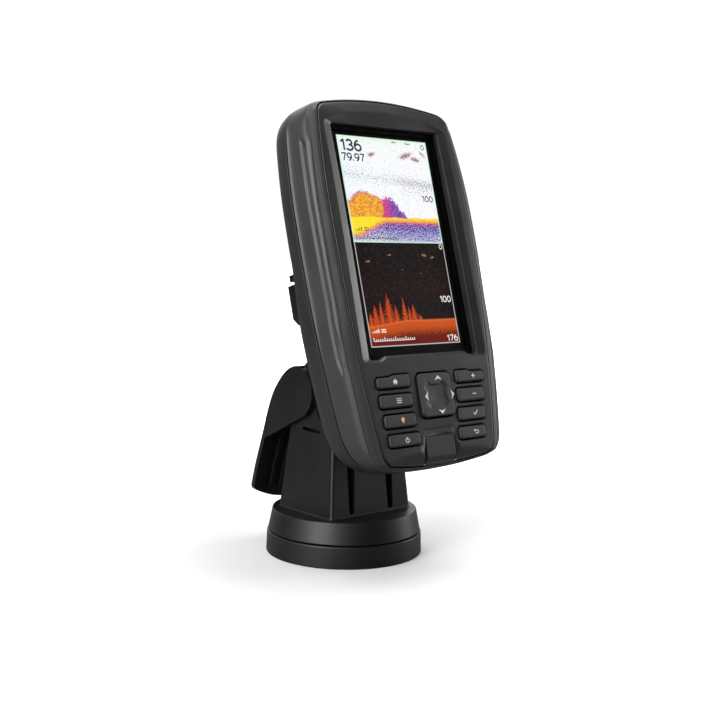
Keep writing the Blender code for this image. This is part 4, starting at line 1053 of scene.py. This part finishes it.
def upper_water(x, y, place, speckle, fine, clouds):
    """Pale water with sparse returns, then a yellow-red tree and a purple bush."""
    up = mix((0.97, 0.985, 1.0), (0.86, 0.96, 1.0), x.step(-27.0, -10.0, 1.0, 0.0) * 0.6)
    up = mix(up, (0.84, 0.98, 0.86), y.step(42.0, 48.0) * 0.8)
    purple = mix((0.10, 0.05, 0.38), (0.36, 0.10, 0.46), clouds.step(0.35, 0.65))
    # two lanes where the sparse returns gather
    drift = (y - 28.3 + x * 0.075) / 2.6
    lane = (-(drift * drift)).exp() * (0.55 + x.step(-5.0, 12.0) * 0.4)
    short_lane = (-(((y - 24.5) / 3.4).pow(2.0))).exp() * x.step(2.0, 10.0) * 0.5
    # the 0.0 offsets how common the returns are
    dots = (noise(combine(x, y * 1.5), 1.35, detail=1.0, rough=0.6)
            + lane.max(short_lane) * 0.17 + 0.0).step(0.63, 0.71)
    up = mix(up, (0.22, 0.20, 0.30), dots * 0.9)
    # fish marks, scratchy inside soft patches
    fish = schools(x, y, UPPER_SCHOOLS)
    scratch = noise(combine(x * 0.8 - y * 0.7, y * 1.9 + x * 0.6), 1.5, rough=0.7)
    dark_red = mix((0.16, 0.05, 0.12), (0.45, 0.12, 0.16), fine.step(0.4, 0.6))
    up = mix(up, dark_red, (fish * 0.34 + scratch).step(0.70, 0.78))

    ragged = noise(place, 0.95, detail=4.0, rough=0.8) - 0.5
    tree_in = blobs(x, y, TREE_BLOBS) + ragged * 1.5
    bush_in = blobs(x, y, BUSH_BLOBS) + ragged * 2.3
    tree = mix((0.90, 0.26, 0.02), (0.98, 0.60, 0.03),
               (clouds + (speckle - 0.5) * 0.6).step(0.38, 0.6))
    veins = noise(combine(x + 5.3, y), 1.3, rough=0.7) + tree_in.step(0.0, 0.35, 0.2, 0.0)
    tree = mix(tree, (0.55, 0.10, 0.12), veins.step(0.53, 0.61))
    to_purple = speckle * 0.7 + fine * 0.4 + x.step(-8.0, 5.0, -0.12, 0.3)
    bush = mix((0.72, 0.06, 0.20), purple, to_purple.step(0.46, 0.66))
    fray = (speckle + bush_in * 0.9).step(0.48, 0.62)
    up = mix(up, bush, fray * bush_in.step(-0.35, 0.1))
    fray = (fine + tree_in * 1.4).step(0.45, 0.62)
    rim = tree_in.step(0.02, 0.16, 1.0, 0.0)
    return mix(up, mix(tree, (0.38, 0.08, 0.32), rim * 0.85), fray * tree_in.step(-0.2, 0.05))


def upper_bottom(up, x, y, place, speckle, fine, clouds):
    """Yellow band with a red lower edge, the weak noise below it and a pale green glow."""
    line = 10.6 + (noise(place, 0.16, detail=3.0, rough=0.55) - 0.5) * 2.0
    low = x.step(-27.0, -4.0, 1.8, 8.6) + (clouds - 0.5) * 1.6
    orange = (clouds + (speckle - 0.5) * 0.5).step(0.45, 0.68) * x.step(-18.0, 4.0, 0.35, 0.9)
    yellow = mix((0.98, 0.80, 0.03), (0.96, 0.60, 0.04), orange)
    red_edge = (y - low).step(0.0, 1.8, 1.0, 0.0)
    yellow = mix(yellow, (0.85, 0.16, 0.10), red_edge * (0.5 + fine * 0.5))
    up = mix(up, yellow, (line - y).step(-0.3, 0.3))
    top_rim = ((line - y).abs()).step(0.0, 0.5, 1.0, 0.0)
    up = mix(up, (0.90, 0.35, 0.05), top_rim * 0.6 * speckle.step(0.4, 0.6))

    below = (low - y + (fine - 0.5) * 1.6).step(-0.2, 0.6)
    depth = (low - y).step(0.0, 9.0)
    haze = mix((0.17, 0.02, 0.26), (0.04, 0.022, 0.36), (speckle + depth * 0.2).step(0.44, 0.58))
    haze = mix(haze, (0.92, 0.94, 1.0),
               (fine + depth * 0.10 + x.step(-26.0, 0.0, 0.12, 0.0)).step(0.59, 0.65))
    haze = mix(haze, (0.72, 0.10, 0.20),
               (low - y).step(0.0, 2.4, 1.0, 0.0) * speckle.step(0.4, 0.6))
    up = mix(up, haze, below)
    border = (x + 26.9).min(26.9 - x).min(47.5 - y).min(y + 0.9)
    return mix(up, (0.66, 0.92, 0.70), border.step(0.0, 1.3, 0.75, 0.0))


def lower_picture(x, y, speckle, fine, clouds):
    """Dark water, red weed stands and orange ground."""
    down = mix((0.004, 0.003, 0.003), (0.020, 0.010, 0.009), clouds.step(0.4, 0.7))
    glow = (-(((y + 21.0) / 9.0).pow(2.0))).exp()
    down = mix(down, (0.20, 0.030, 0.010), (speckle + glow * 0.16).step(0.64, 0.92) * 0.26)
    faint = schools(x, y, LOWER_SCHOOLS)
    down = mix(down, (0.42, 0.16, 0.09), (faint * 0.6 + fine * 0.5).step(0.60, 0.82))

    # weed stands: tall cones frayed by noise
    fray = noise(combine(x * 1.6, y * 0.5), 1.3, detail=4.0, rough=0.8)

    def cone(cx, tip, half):
        widening = ((tip - y) / (tip + 38.5)).max(0.02)
        return ((1.0 - (x - cx).abs() / (widening * half)).max(-1.0)
                - (y - tip).max(0.0) * 2.0)

    weed = highest([cone(*row) for row in WEEDS])
    weed_mask = (weed * 0.62 + (fray - 0.5) * 1.7 + (fine - 0.5) * 2.2 + 0.02).step(0.14, 0.60)
    weed_tone = (fine * 0.7 + speckle * 0.5 + weed * 0.22
                 + (-38.0 - y).step(-12.0, 0.0, 0.0, 0.12)).step(0.50, 0.86)
    down = mix(down, mix((0.11, 0.008, 0.003), (0.70, 0.085, 0.016), weed_tone), weed_mask)

    # ground, darker with depth and bright along its crest
    crest = -38.3 + x.step(-27.0, -2.0) * 2.1
    hump = (crest - y).step(-0.4, 0.5)
    deep = (crest - y).step(0.0, 11.0)
    layers = noise(combine(x * 0.35, y * 1.4), 1.2, detail=3.0, rough=0.7)
    ground = mix((0.58, 0.085, 0.010), (0.13, 0.010, 0.003),
                 (deep * 1.15 + (layers - 0.5) * 1.1 + (clouds - 0.5) * 0.3).step(0.1, 0.95))
    ground = mix(ground, (0.80, 0.20, 0.03), ((crest - y).abs()).step(0.0, 1.3, 0.65, 0.0))
    down = mix(down, ground, hump)
    border = (x + 26.9).min(26.9 - x).min(y + 47.5)
    return mix(down, (0.60, 0.58, 0.58), border.lt(0.42) * 0.9)


def picture_material():
    """The lit sonar picture: a pale view above y = -1 and a dark one below."""
    made = start_material("lit_picture")
    x, y, _ = split(shade("UVMap", uv_map="mm"))
    place = combine(x, y)
    speckle = noise(place, 1.25, detail=1.0, rough=0.6)
    fine = noise(combine(x + 31.7, y * 1.25 + 9.1), 1.9, detail=1.0, rough=0.6)
    clouds = noise(place, 0.55, detail=3.0, rough=0.6)
    up = upper_water(x, y, place, speckle, fine, clouds)
    up = upper_bottom(up, x, y, place, speckle, fine, clouds)
    both = mix(lower_picture(x, y, speckle, fine, clouds), up, (y + 1.0).step(-0.08, 0.08))
    lit = (26.95 - x.abs()).min(47.55 - y.abs()).gt(0.0)
    return finish_material(made, {
        "Base Color": (0.004, 0.004, 0.005),
        "Roughness": fine.step(0.2, 0.8, 0.32, 0.4),
        "Specular IOR Level": 0.05,
        "Emission Color": mix((0.0, 0.0, 0.0), both, lit),
        "Emission Strength": lit * 1.0,
        "Normal": bump(fine, strength=0.05, distance=0.00001)})


def build_picture():
    """Gridded slab with a UV map in millimetres."""
    nx, ny = 25, 43
    xs, ys = np.linspace(-28.8, 28.8, nx), np.linspace(-51.0, 49.6, ny)
    verts = [(x, y, z) for z in (0.0, -1.8) for y in ys for x in xs]
    under = nx * ny
    faces = []
    for j in range(ny - 1):
        for i in range(nx - 1):
            a = j * nx + i
            b = a + under
            faces.append((a, a + 1, a + nx + 1, a + nx))
            faces.append((b + nx, b + nx + 1, b + 1, b))
    for i in range(nx - 1):
        k = (ny - 1) * nx + i
        faces.append((i + 1, i, i + under, i + 1 + under))
        faces.append((k, k + 1, k + 1 + under, k + under))
    for j in range(ny - 1):
        a = j * nx
        k = a + nx - 1
        faces.append((a, a + nx, a + nx + under, a + under))
        faces.append((k + nx, k, k + under, k + nx + under))
    mesh = as_mesh(verts, faces)
    layer = mesh.uv_layers.new(name="mm")
    for loop in mesh.loops:
        layer.data[loop.index].uv = mesh.vertices[loop.vertex_index].co.xy
    return mesh


piece("picture", build_picture(), "head", picture_material(), ["lcd_panel"], sharp=30)

ink_dark = glow_material("readout_dark", (0.012, 0.012, 0.02))
ink_light = glow_material("readout_light", (0.92, 0.92, 0.92))
ink_olive = glow_material("readout_olive", (0.12, 0.13, 0.05))

# width taken, then each digit as lines in a cell 0.56 wide and 1 high
SIX = [oval(0.28, 0.32, 0.25, 0.29, 0, 360),
       oval(0.42, 0.40, 0.39, 0.56, 88, 180)[2:] + [(0.03, 0.32)]]
DIGITS = {
    "0": (0.66, [oval(0.28, 0.5, 0.24, 0.47, 0, 360, 20)]),
    "1": (0.46, [[(0.06, 0.76), (0.27, 0.97), (0.27, 0.03)]]),
    "3": (0.66, [oval(0.26, 0.74, 0.22, 0.23, 150, -90) + oval(0.26, 0.28, 0.26, 0.25, 88, -150)]),
    "6": (0.66, SIX),
    "7": (0.64, [[(0.03, 0.96), (0.52, 0.96), (0.34, 0.55), (0.22, 0.03)]]),
    "9": (0.66, [[(0.56 - x, 1.0 - y) for x, y in line] for line in SIX]),
    ".": (0.26, [[(0.09, 0.0), (0.09, 0.14)]]),
}


def printed(name, polys, ink):
    """Thin prisms lying just over the picture."""
    lift, half = 0.03, 0.004
    mesh = joined([slab(poly, lift - half, lift + half) for poly in polys])
    piece(name, mesh, "head", ink, sharp=0)


def number(name, text, x0, x1, y0, y1, ink, weight):
    """Digits drawn to fill the box; weight is stroke width over height."""
    high = y1 - y0
    scale = (x1 - x0) / (sum(DIGITS[digit][0] for digit in text) - 0.08)
    width = weight * high
    polys = []
    at = 0.0
    for digit in text:
        for line in DIGITS[digit][1]:
            pts = [(x0 + (at + px) * scale, y0 + py * high) for px, py in line]
            for a, b in zip(pts, pts[1:]):
                # strokes run on a little, so that they overlap
                d = (Vector(b) - Vector(a)).normalized() * width * 0.18
                polys.append(stroke((a[0] - d.x, a[1] - d.y), (b[0] + d.x, b[1] + d.y), width))
        at += DIGITS[digit][0]
    printed(name, polys, ink)


# name, text, x0, x1, y0, y1, ink, weight
for row in (
    ("depth_readout", "136", -25.3, -13.3, 40.7, 45.7, ink_dark, 0.19),
    ("temperature_readout", "79.97", -25.6, -12.5, 36.0, 39.4, ink_dark, 0.19),
    ("scale_top_0", "0", 23.3, 25.4, 43.7, 46.1, ink_dark, 0.15),
    ("scale_top_100", "100", 18.6, 25.4, 18.7, 21.5, ink_dark, 0.16),
    ("scale_low_0", "0", 24.0, 26.0, -3.7, -1.4, ink_light, 0.15),
    ("scale_low_100", "100", 18.9, 25.7, -28.5, -25.7, ink_light, 0.16),
    ("scale_low_176", "176", 19.1, 25.9, -46.5, -43.8, ink_light, 0.16),
):
    number(*row)

# plain bars: x, width, low, high
METER = [(-25.0 + 1.15 * i, 0.62, -0.8, -0.8 + 0.42 * (i + 1)) for i in range(4)] + [
    (-19.6, 2.4, -0.8, -0.45), (-19.6, 2.4, 0.45, 0.8), (-19.6, 0.35, -0.45, 0.45),
    (-17.55, 0.35, -0.45, 0.45), (-18.9, 0.8, -0.2, 0.2)]
RULER = [(-25.0 + 1.25 * i, 0.42, -0.8, 0.15 if i % 5 else 0.8) for i in range(20)] + [
    (-25.0, 24.2, -0.98, -0.72)]
for name, y, ink, bars in (
    ("strength_row_top", 5.0, ink_olive, METER), ("ruler_row_top", 1.6, ink_olive, RULER),
    ("strength_row_low", -40.5, ink_light, METER), ("ruler_row_low", -44.1, ink_light, RULER),
):
    printed(name, [[(x, y + low), (x + wide, y + low), (x + wide, y + high), (x, y + high)]
                   for x, wide, low, high in bars], ink)


# ================================================================ glass
def glass_material():
    """Clear pane with a weak, faintly smeared reflection on its outer side only."""
    made = start_material("window_glass")
    smear = noise(object_coords(), 35.0, detail=3.0, rough=0.6)
    gloss = shade("BsdfGlossy", {"Color": (0.9, 0.95, 1.0),
                                 "Roughness": smear.step(0.3, 0.7, 0.02, 0.06)})
    facing = 1.0 - shade("NewGeometry", output="Backfacing")
    share = shade("Fresnel", {"IOR": 1.38}) * 0.25 * facing
    blend = shade("MixShader", {0: share, 1: shade("BsdfTransparent"), 2: gloss})
    feed(made.node_tree.nodes["Material Output"].inputs["Surface"], blend)
    made.node_tree.nodes.remove(made.node_tree.nodes["Principled BSDF"])
    return made


# inset, z
PANE_LEVELS = ((0.05, 1.2), (0.05, 2.35), (0.12, 2.52), (0.3, 2.6))
pane = loft([[(x, y, z) for x, y in window_loop(0.0, -inset)] for inset, z in PANE_LEVELS])
piece("window_pane", pane, "head", glass_material(), ["window_glass"], sharp=30)


def picture_opening(low, high):
    return cut(slab(round_box(-30.4, 30.4, -50.4, 49.4, 0.4, 3), low, high))


# black print round the picture, under the pane
mask = worked(slab(window_loop(0.0, -0.06), 0.96, 1.1), [picture_opening(0.0, 2.0)])
piece("window_mask", mask, "head", mask_mat, ["window_gasket"], sharp=30)
well = worked(slab(round_box(-33.5, 33.5, -55.0, 52.8, 2.0, 4), -2.3, 0.94),
              [cut(slab(round_box(-29.2, 29.2, -51.3, 49.9, 0.5, 3), -3.0, 0.7)),
               picture_opening(-1.0, 2.0)])
piece("display_well", well, "head", mask_mat, sharp=30)


# ================================================================ stand
def stand_piece(name, mesh, body, replaces=(), sharp=32):
    piece(name, mesh, body, stand_mat, replaces, sharp, WORLD)


def build_base():
    """Lower disc with four countersunk screw holes and a centre bore."""
    steps = []
    for k in range(4):
        a = math.radians(45 + 90 * k)
        at = (26.0 * math.cos(a), 26.0 * math.sin(a))
        steps += [cut(rod("z", at, 2.3, -5.0, 30.0, 32)),
                  cut(rod("z", at, 2.2, 7.7, 10.7, 32, end_radius=5.2))]
    steps.append(cut(rod("z", (0.0, 0.0), 4.3, 2.7, 30.0, 40)))
    profile = [(0.0, 10.3), (36.9, 10.3), (37.3, 0.0), (0.0, 0.0)]
    return worked(lathe(rounded(profile, 0.7)), steps)


stand_piece("base_disc", build_base(), "base", ["base_plate"], sharp=40)

EAR = [(-12.0, 60.0), (-5.0, 66.0)] + arc(*PIVOT, 10.5, 205, -15, 40) + [(16.4, 60.0)]  # y, z
# z, grow of the flared foot of the trunk
TRUNK_FOOT = ((20.0, 1.0), (20.8, 1.0), (20.9, 0.62), (21.1, 0.3), (21.45, 0.08), (21.9, -0.02))


def trunk_ring(z, grow=0.0):
    share = (z - 19.5) / 44.5
    half_x, half_y = 24.5 - 3.7 * share + grow, 20.2 - 4.2 * share + grow
    loop = round_box(-half_x, half_x, -half_y, half_y, 1.4 + max(0.0, grow) * 0.8, 10)
    return [(x, y, float(z)) for x, y in loop]


def build_post():
    """Upper disc and hollow tapered trunk with two ears for the tilt axis."""
    profile = [(0.0, 20.8), (34.4, 20.8), (36.4, 10.75), (0.0, 10.75)]
    steps = [add(loft([trunk_ring(z) for z in np.linspace(19.5, 64.0, 9)])),
             add(loft([trunk_ring(z, grow) for z, grow in TRUNK_FOOT]))]
    steps += [add(slab(EAR, low, high, axis="x")) for low, high in ((-21.3, -17.6), (17.6, 21.3))]
    core = loft([[(-hx, -hy, z), (hx, -hy, z), (hx, hy, z), (-hx, hy, z)]
                 for hx, hy, z in ((17.0, 13.0, 14.0), (15.0, 11.0, 58.0))])
    steps += [cut(core), cut(rod("x", PIVOT, 3.3, -30, 30, 40)),
              cut(rod("z", (0.0, 0.0), 4.4, 5.0, 15.0, 40))]
    ear_slot = arc(-6.2, 59.7, 1.0, 90, 270, 8) + arc(5.6, 59.7, 1.0, -90, 90, 8)
    for side in (-1, 1):
        # front slot with a rounded foot, and the long slot under the ear
        top = side * 11.2
        front_slot = [(top + 3.0, 56.0), (top - 3.0, 56.0)]
        front_slot += arc(side * 11.9, 23.6, 1.65, 180, 360, 12)
        steps.append(cut(loft([[(x, y, z) for x, z in front_slot] for y in (-30.0, -14.2)])))
        steps.append(cut(slab(ear_slot, *sorted((side * 17.0, side * 30.0)), axis="x")))
    return worked(lathe(rounded(profile, 0.55)), steps, bevel=(0.35, 2, 50))


stand_piece("post_body", build_post(), "post", ["swivel_post"])

# cam lever, in y, z
LEAF_BACK = smooth([
    (4.0, 89.6), (10.0, 88.7), (15.0, 86.3), (20.0, 81.8), (25.2, 75.0), (29.4, 66.0),
    (33.2, 55.0), (37.4, 43.5), (40.6, 34.0), (44.9, 18.2)])
LEVER_WALL = 2.4
INNER_WALL = [(y - LEVER_WALL * 0.93, z - LEVER_WALL * 0.36) for y, z in LEAF_BACK
              if 15.0 < z < 75.0]


def build_lever():
    inner_edge = [(y - LEVER_WALL * 0.955, z - LEVER_WALL * 0.32) for y, z in LEAF_BACK
                  if z > 20.0 and z - LEVER_WALL * 0.32 < 51.0]
    leaf = (arc(*PIVOT, 12.3, 242, 108, 30) + LEAF_BACK + [(42.5, 18.2)] + inner_edge[::-1]
            + [(32.0, 51.9)])
    first, last = INNER_WALL[0], INNER_WALL[-1]
    hollow = ([(-20.0, 100.0), (-20.0, 5.0), (last[0] + 1.0, 5.0)] + INNER_WALL[::-1]
              + [(first[0] + 3.0, first[1] + 3.5), (60.0, 92.0), (60.0, 100.0)])
    # trims the lower end to a shallow curve with round corners: x, z
    trim = ([(-40.0, 0.0), (40.0, 0.0), (40.0, 27.0), (24.6, 27.0)]
            + arc(21.4, 27.4, 3.2, -5, -68, 8)
            + [(x, 18.8 + 5.6 * (abs(x) / 22.6) ** 2.2) for x in np.linspace(20.0, -20.0, 21)]
            + arc(-21.4, 27.4, 3.2, 248, 185, 8) + [(-24.6, 27.0), (-40.0, 27.0)])
    steps = [cut(slab(hollow, -22.1, 22.1, axis="x")),
             cut(rod("x", PIVOT, 3.3, -23.6, 23.6, 40)),
             cut(loft([[(x, y, z) for x, z in trim] for y in (25.0, 60.0)]))]
    return worked(slab(leaf, -24.6, 24.6, axis="x"), steps, bevel=(0.45, 3, 40))


stand_piece("lever_body", build_lever(), "lever", ["tilt_lever"])
# stiffening ribs on the inner side of the lever's back plate
path = [p for p in INNER_WALL if 24.0 < p[1] < 60.0]
rib = [(y + 0.35, z) for y, z in path] + [(y - 0.9, z) for y, z in reversed(path)]
ribs = [slab(rib, x - 0.45, x + 0.45, axis="x") for x in (-15.0, -9.0, -3.0, 3.0, 9.0, 15.0)]
stand_piece("lever_ribs", joined(ribs), "lever")

# the little spring under the latch arm, which shortens as the arm swings down on it
COIL_FOOT = Vector((0, -11.0, -48.55))
COIL_TOP, COIL_RADIUS, COIL_WIRE, COIL_TURNS = -46.5, 1.7, 0.25, 3.5


def build_coil(count=150, sides=12):
    low, wire = -48.55, COIL_WIRE
    travel = COIL_TOP - low - 2 * wire
    loops = []
    for i in range(count + 1):
        a = 2 * math.pi * COIL_TURNS * i / count
        rise = low + wire + travel * ease(i / count, 0.0, 1.0) * 0.35 + travel * 0.65 * i / count
        out, along = Vector((math.cos(a), math.sin(a), 0)), Vector((-math.sin(a), math.cos(a), 0.0))
        side = along.cross(out)
        middle = Vector((0, COIL_FOOT.y, 0)) + out * COIL_RADIUS + Vector((0, 0, float(rise)))
        turns = [2 * math.pi * k / sides for k in range(sides)]
        loops.append([tuple(middle + out * (wire * math.cos(b)) + side * (wire * math.sin(b)))
                      for b in turns])
    return loft(loops)


spring = piece("latch_coil", build_coil(), "cradle", steel_mat, ["latch_spring"], sharp=40)
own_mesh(spring)

# ================================================================ carried nodes
FINISH = {
    "stand_black": stand_mat, "case_dark": dark_mat, "steel": steel_mat, "board": board_mat,
    "ceramic": ceramic_mat, "ribbon": ribbon_mat, "membrane": membrane_mat,
    "seal_rubber": seal_mat, "case_grey": rear_mat, "key_rubber": key_mat,
    "display": dark_mat, "glass": mask_mat,
}
TINNED = ("shield_can", "card_socket", "backlight_unit")
# bevel width, segments
EDGES = {
    "cradle": (0.5, 3), "release_latch": (0.45, 3), "power_socket": (0.25, 2),
    "transducer_socket": (0.25, 2), "cradle_connector": (0.2, 2), "head_connector": (0.2, 2),
    "shield_can": (0.5, 2), "buzzer": (0.4, 2), "gps_antenna": (0.3, 2), "main_board": (0.1, 1),
    "keypad_board": (0.1, 1), "backlight_unit": (0.2, 2), "card_socket": (0.2, 2),
}
slots = {part["node"]: part["material_slot"] for part in frame["record"]["subparts"]}
for name, obj in nodes.items():
    obj.data.materials.clear()
    obj.data.materials.append(shield_mat if name in TINNED else FINISH[slots[name]])
    if name in EDGES:
        width, segments = EDGES[name]
        mod = obj.modifiers.new("edge", "BEVEL")
        mod.width, mod.segments = width * MM, segments
        mod.limit_method = "ANGLE"
        mod.angle_limit = math.radians(40)
        obj.data.shade_smooth()
        shade_flats(obj, 32)

# ================================================================ studio
FLOOR_FILL = 0.15
AMBIENT = 0.05


def floor_material():
    """White sweep; away from the object only the camera sees it lit, as with dark flags
    round a real table. Distances are in metres."""
    made = start_material("floor_pale")
    place = object_coords()
    seen = shade("LightPath", output="Is Camera Ray")
    reach = shade("VectorMath", {0: place}, output="Value", operation="LENGTH")
    unseen_tone = reach.step(0.3, 0.8, 0.24, 0.03)
    cloud = noise(place, 8.0).step(0.3, 0.7, 0.86, 0.88)
    # painted shadow: darker close to the object on one side
    x, y, _ = split(place)
    shadow = (x * 0.86 - y * 0.5).step(-0.06, -0.005, 0.25, 0.0)
    cloud = cloud * (1.0 - shadow * reach.step(0.046, 0.115, 1.0, 0.0))
    tone = seen * cloud + (1.0 - seen) * unseen_tone
    return finish_material(made, {
        "Base Color": combine(tone, tone, tone),
        "Roughness": 0.75,
        "Specular IOR Level": 0.1,
        "Emission Color": (1.0, 1.0, 1.0),
        "Emission Strength": seen * (FLOOR_FILL + reach.step(0.07, 0.36, 0.0, 1.0))})


corners = [(-6, -6, 0), (6, -6, 0), (6, 6, 0), (-6, 6, 0)]
floor = bpy.data.objects.new("floor", as_mesh(corners, [(0, 1, 2, 3)]))
floor.data.materials.append(floor_material())
bpy.context.scene.collection.objects.link(floor)

# soft patches of sky: direction, tightness, level
LOBES = (
    ((0, 0.15, 1), 3.0, 0.42),
    ((-0.90, -0.22, 0.36), 26.0, 13.0),
    ((-0.93, 0.22, 0.32), 34.0, 2.2),
    ((0.925, -0.30, 0.20), 60.0, 10.0),
    ((0.65, -0.75, 0.02), 150.0, 0.9),
    ((0.45, 0.85, 0.45), 6.0, 1.6),
)


def build_world():
    """Soft patches light the scene; the camera itself sees plain white."""
    world = bpy.data.worlds.new("studio")
    bpy.context.scene.world = world
    world.use_nodes = True
    Value.tree = world.node_tree
    back = world.node_tree.nodes["Background"]
    direction = shade("TexCoord", output="Generated")
    camera_ray = shade("LightPath", output="Is Camera Ray")
    patches = [dot(direction, Vector(toward).normalized()).max(0.0).pow(tightness) * level
               for toward, tightness, level in LOBES]
    sky = reduce(Value.__add__, patches) + AMBIENT
    feed(back.inputs["Strength"], sky * (1.0 - camera_ray) + camera_ray * 1.05)
    feed(back.inputs["Color"], (1, 1, 1))


def build_overhead():
    """Square soft light over the object."""
    at, aim = Vector((0.02, -0.05, 0.64)), Vector((0.0, 0.0, 0.1))
    data = bpy.data.lights.new("overhead", "AREA")
    data.shape = "RECTANGLE"
    data.size = data.size_y = 0.5
    data.energy = 2.5
    light = bpy.data.objects.new("overhead", data)
    light.location = at
    light.rotation_mode = "QUATERNION"
    light.rotation_quaternion = (aim - at).to_track_quat("-Z", "Y")
    bpy.context.scene.collection.objects.link(light)


build_world()
build_overhead()

# ================================================================ camera
CAMERA_AT = (-0.35052, -0.41644, 0.14821)
YAW, PITCH, ROLL = -0.711, 0.1039, -0.0192  # heading from +y, downward tilt, roll; radians


def build_camera():
    def turned(angle):
        return math.cos(angle), math.sin(angle)

    c, s = turned(YAW)
    heading = np.array([[c, -s, 0], [s, c, 0], [0, 0, 1]])
    c, s = turned(PITCH)
    dip = np.array([[1, 0, 0], [0, c, s], [0, -s, c]])
    # columns: right, up and backward of a level camera looking along +y, rolled
    c, s = turned(ROLL)
    level = np.array([[c, s, 0], [0, 0, -1], [-s, c, 0]])
    axes = (heading @ dip @ level).tolist()
    data = bpy.data.cameras.new("camera")
    data.lens, data.sensor_width, data.clip_start = 57.66, 36.0, 0.01
    camera = bpy.data.objects.new("camera", data)
    bpy.context.scene.collection.objects.link(camera)
    rows = [(*row, place) for row, place in zip(axes, CAMERA_AT)]
    camera.matrix_world = Matrix(rows + [(0, 0, 0, 1)])
    bpy.context.scene.camera = camera


build_camera()
bpy.context.scene.view_settings.view_transform = "Standard"
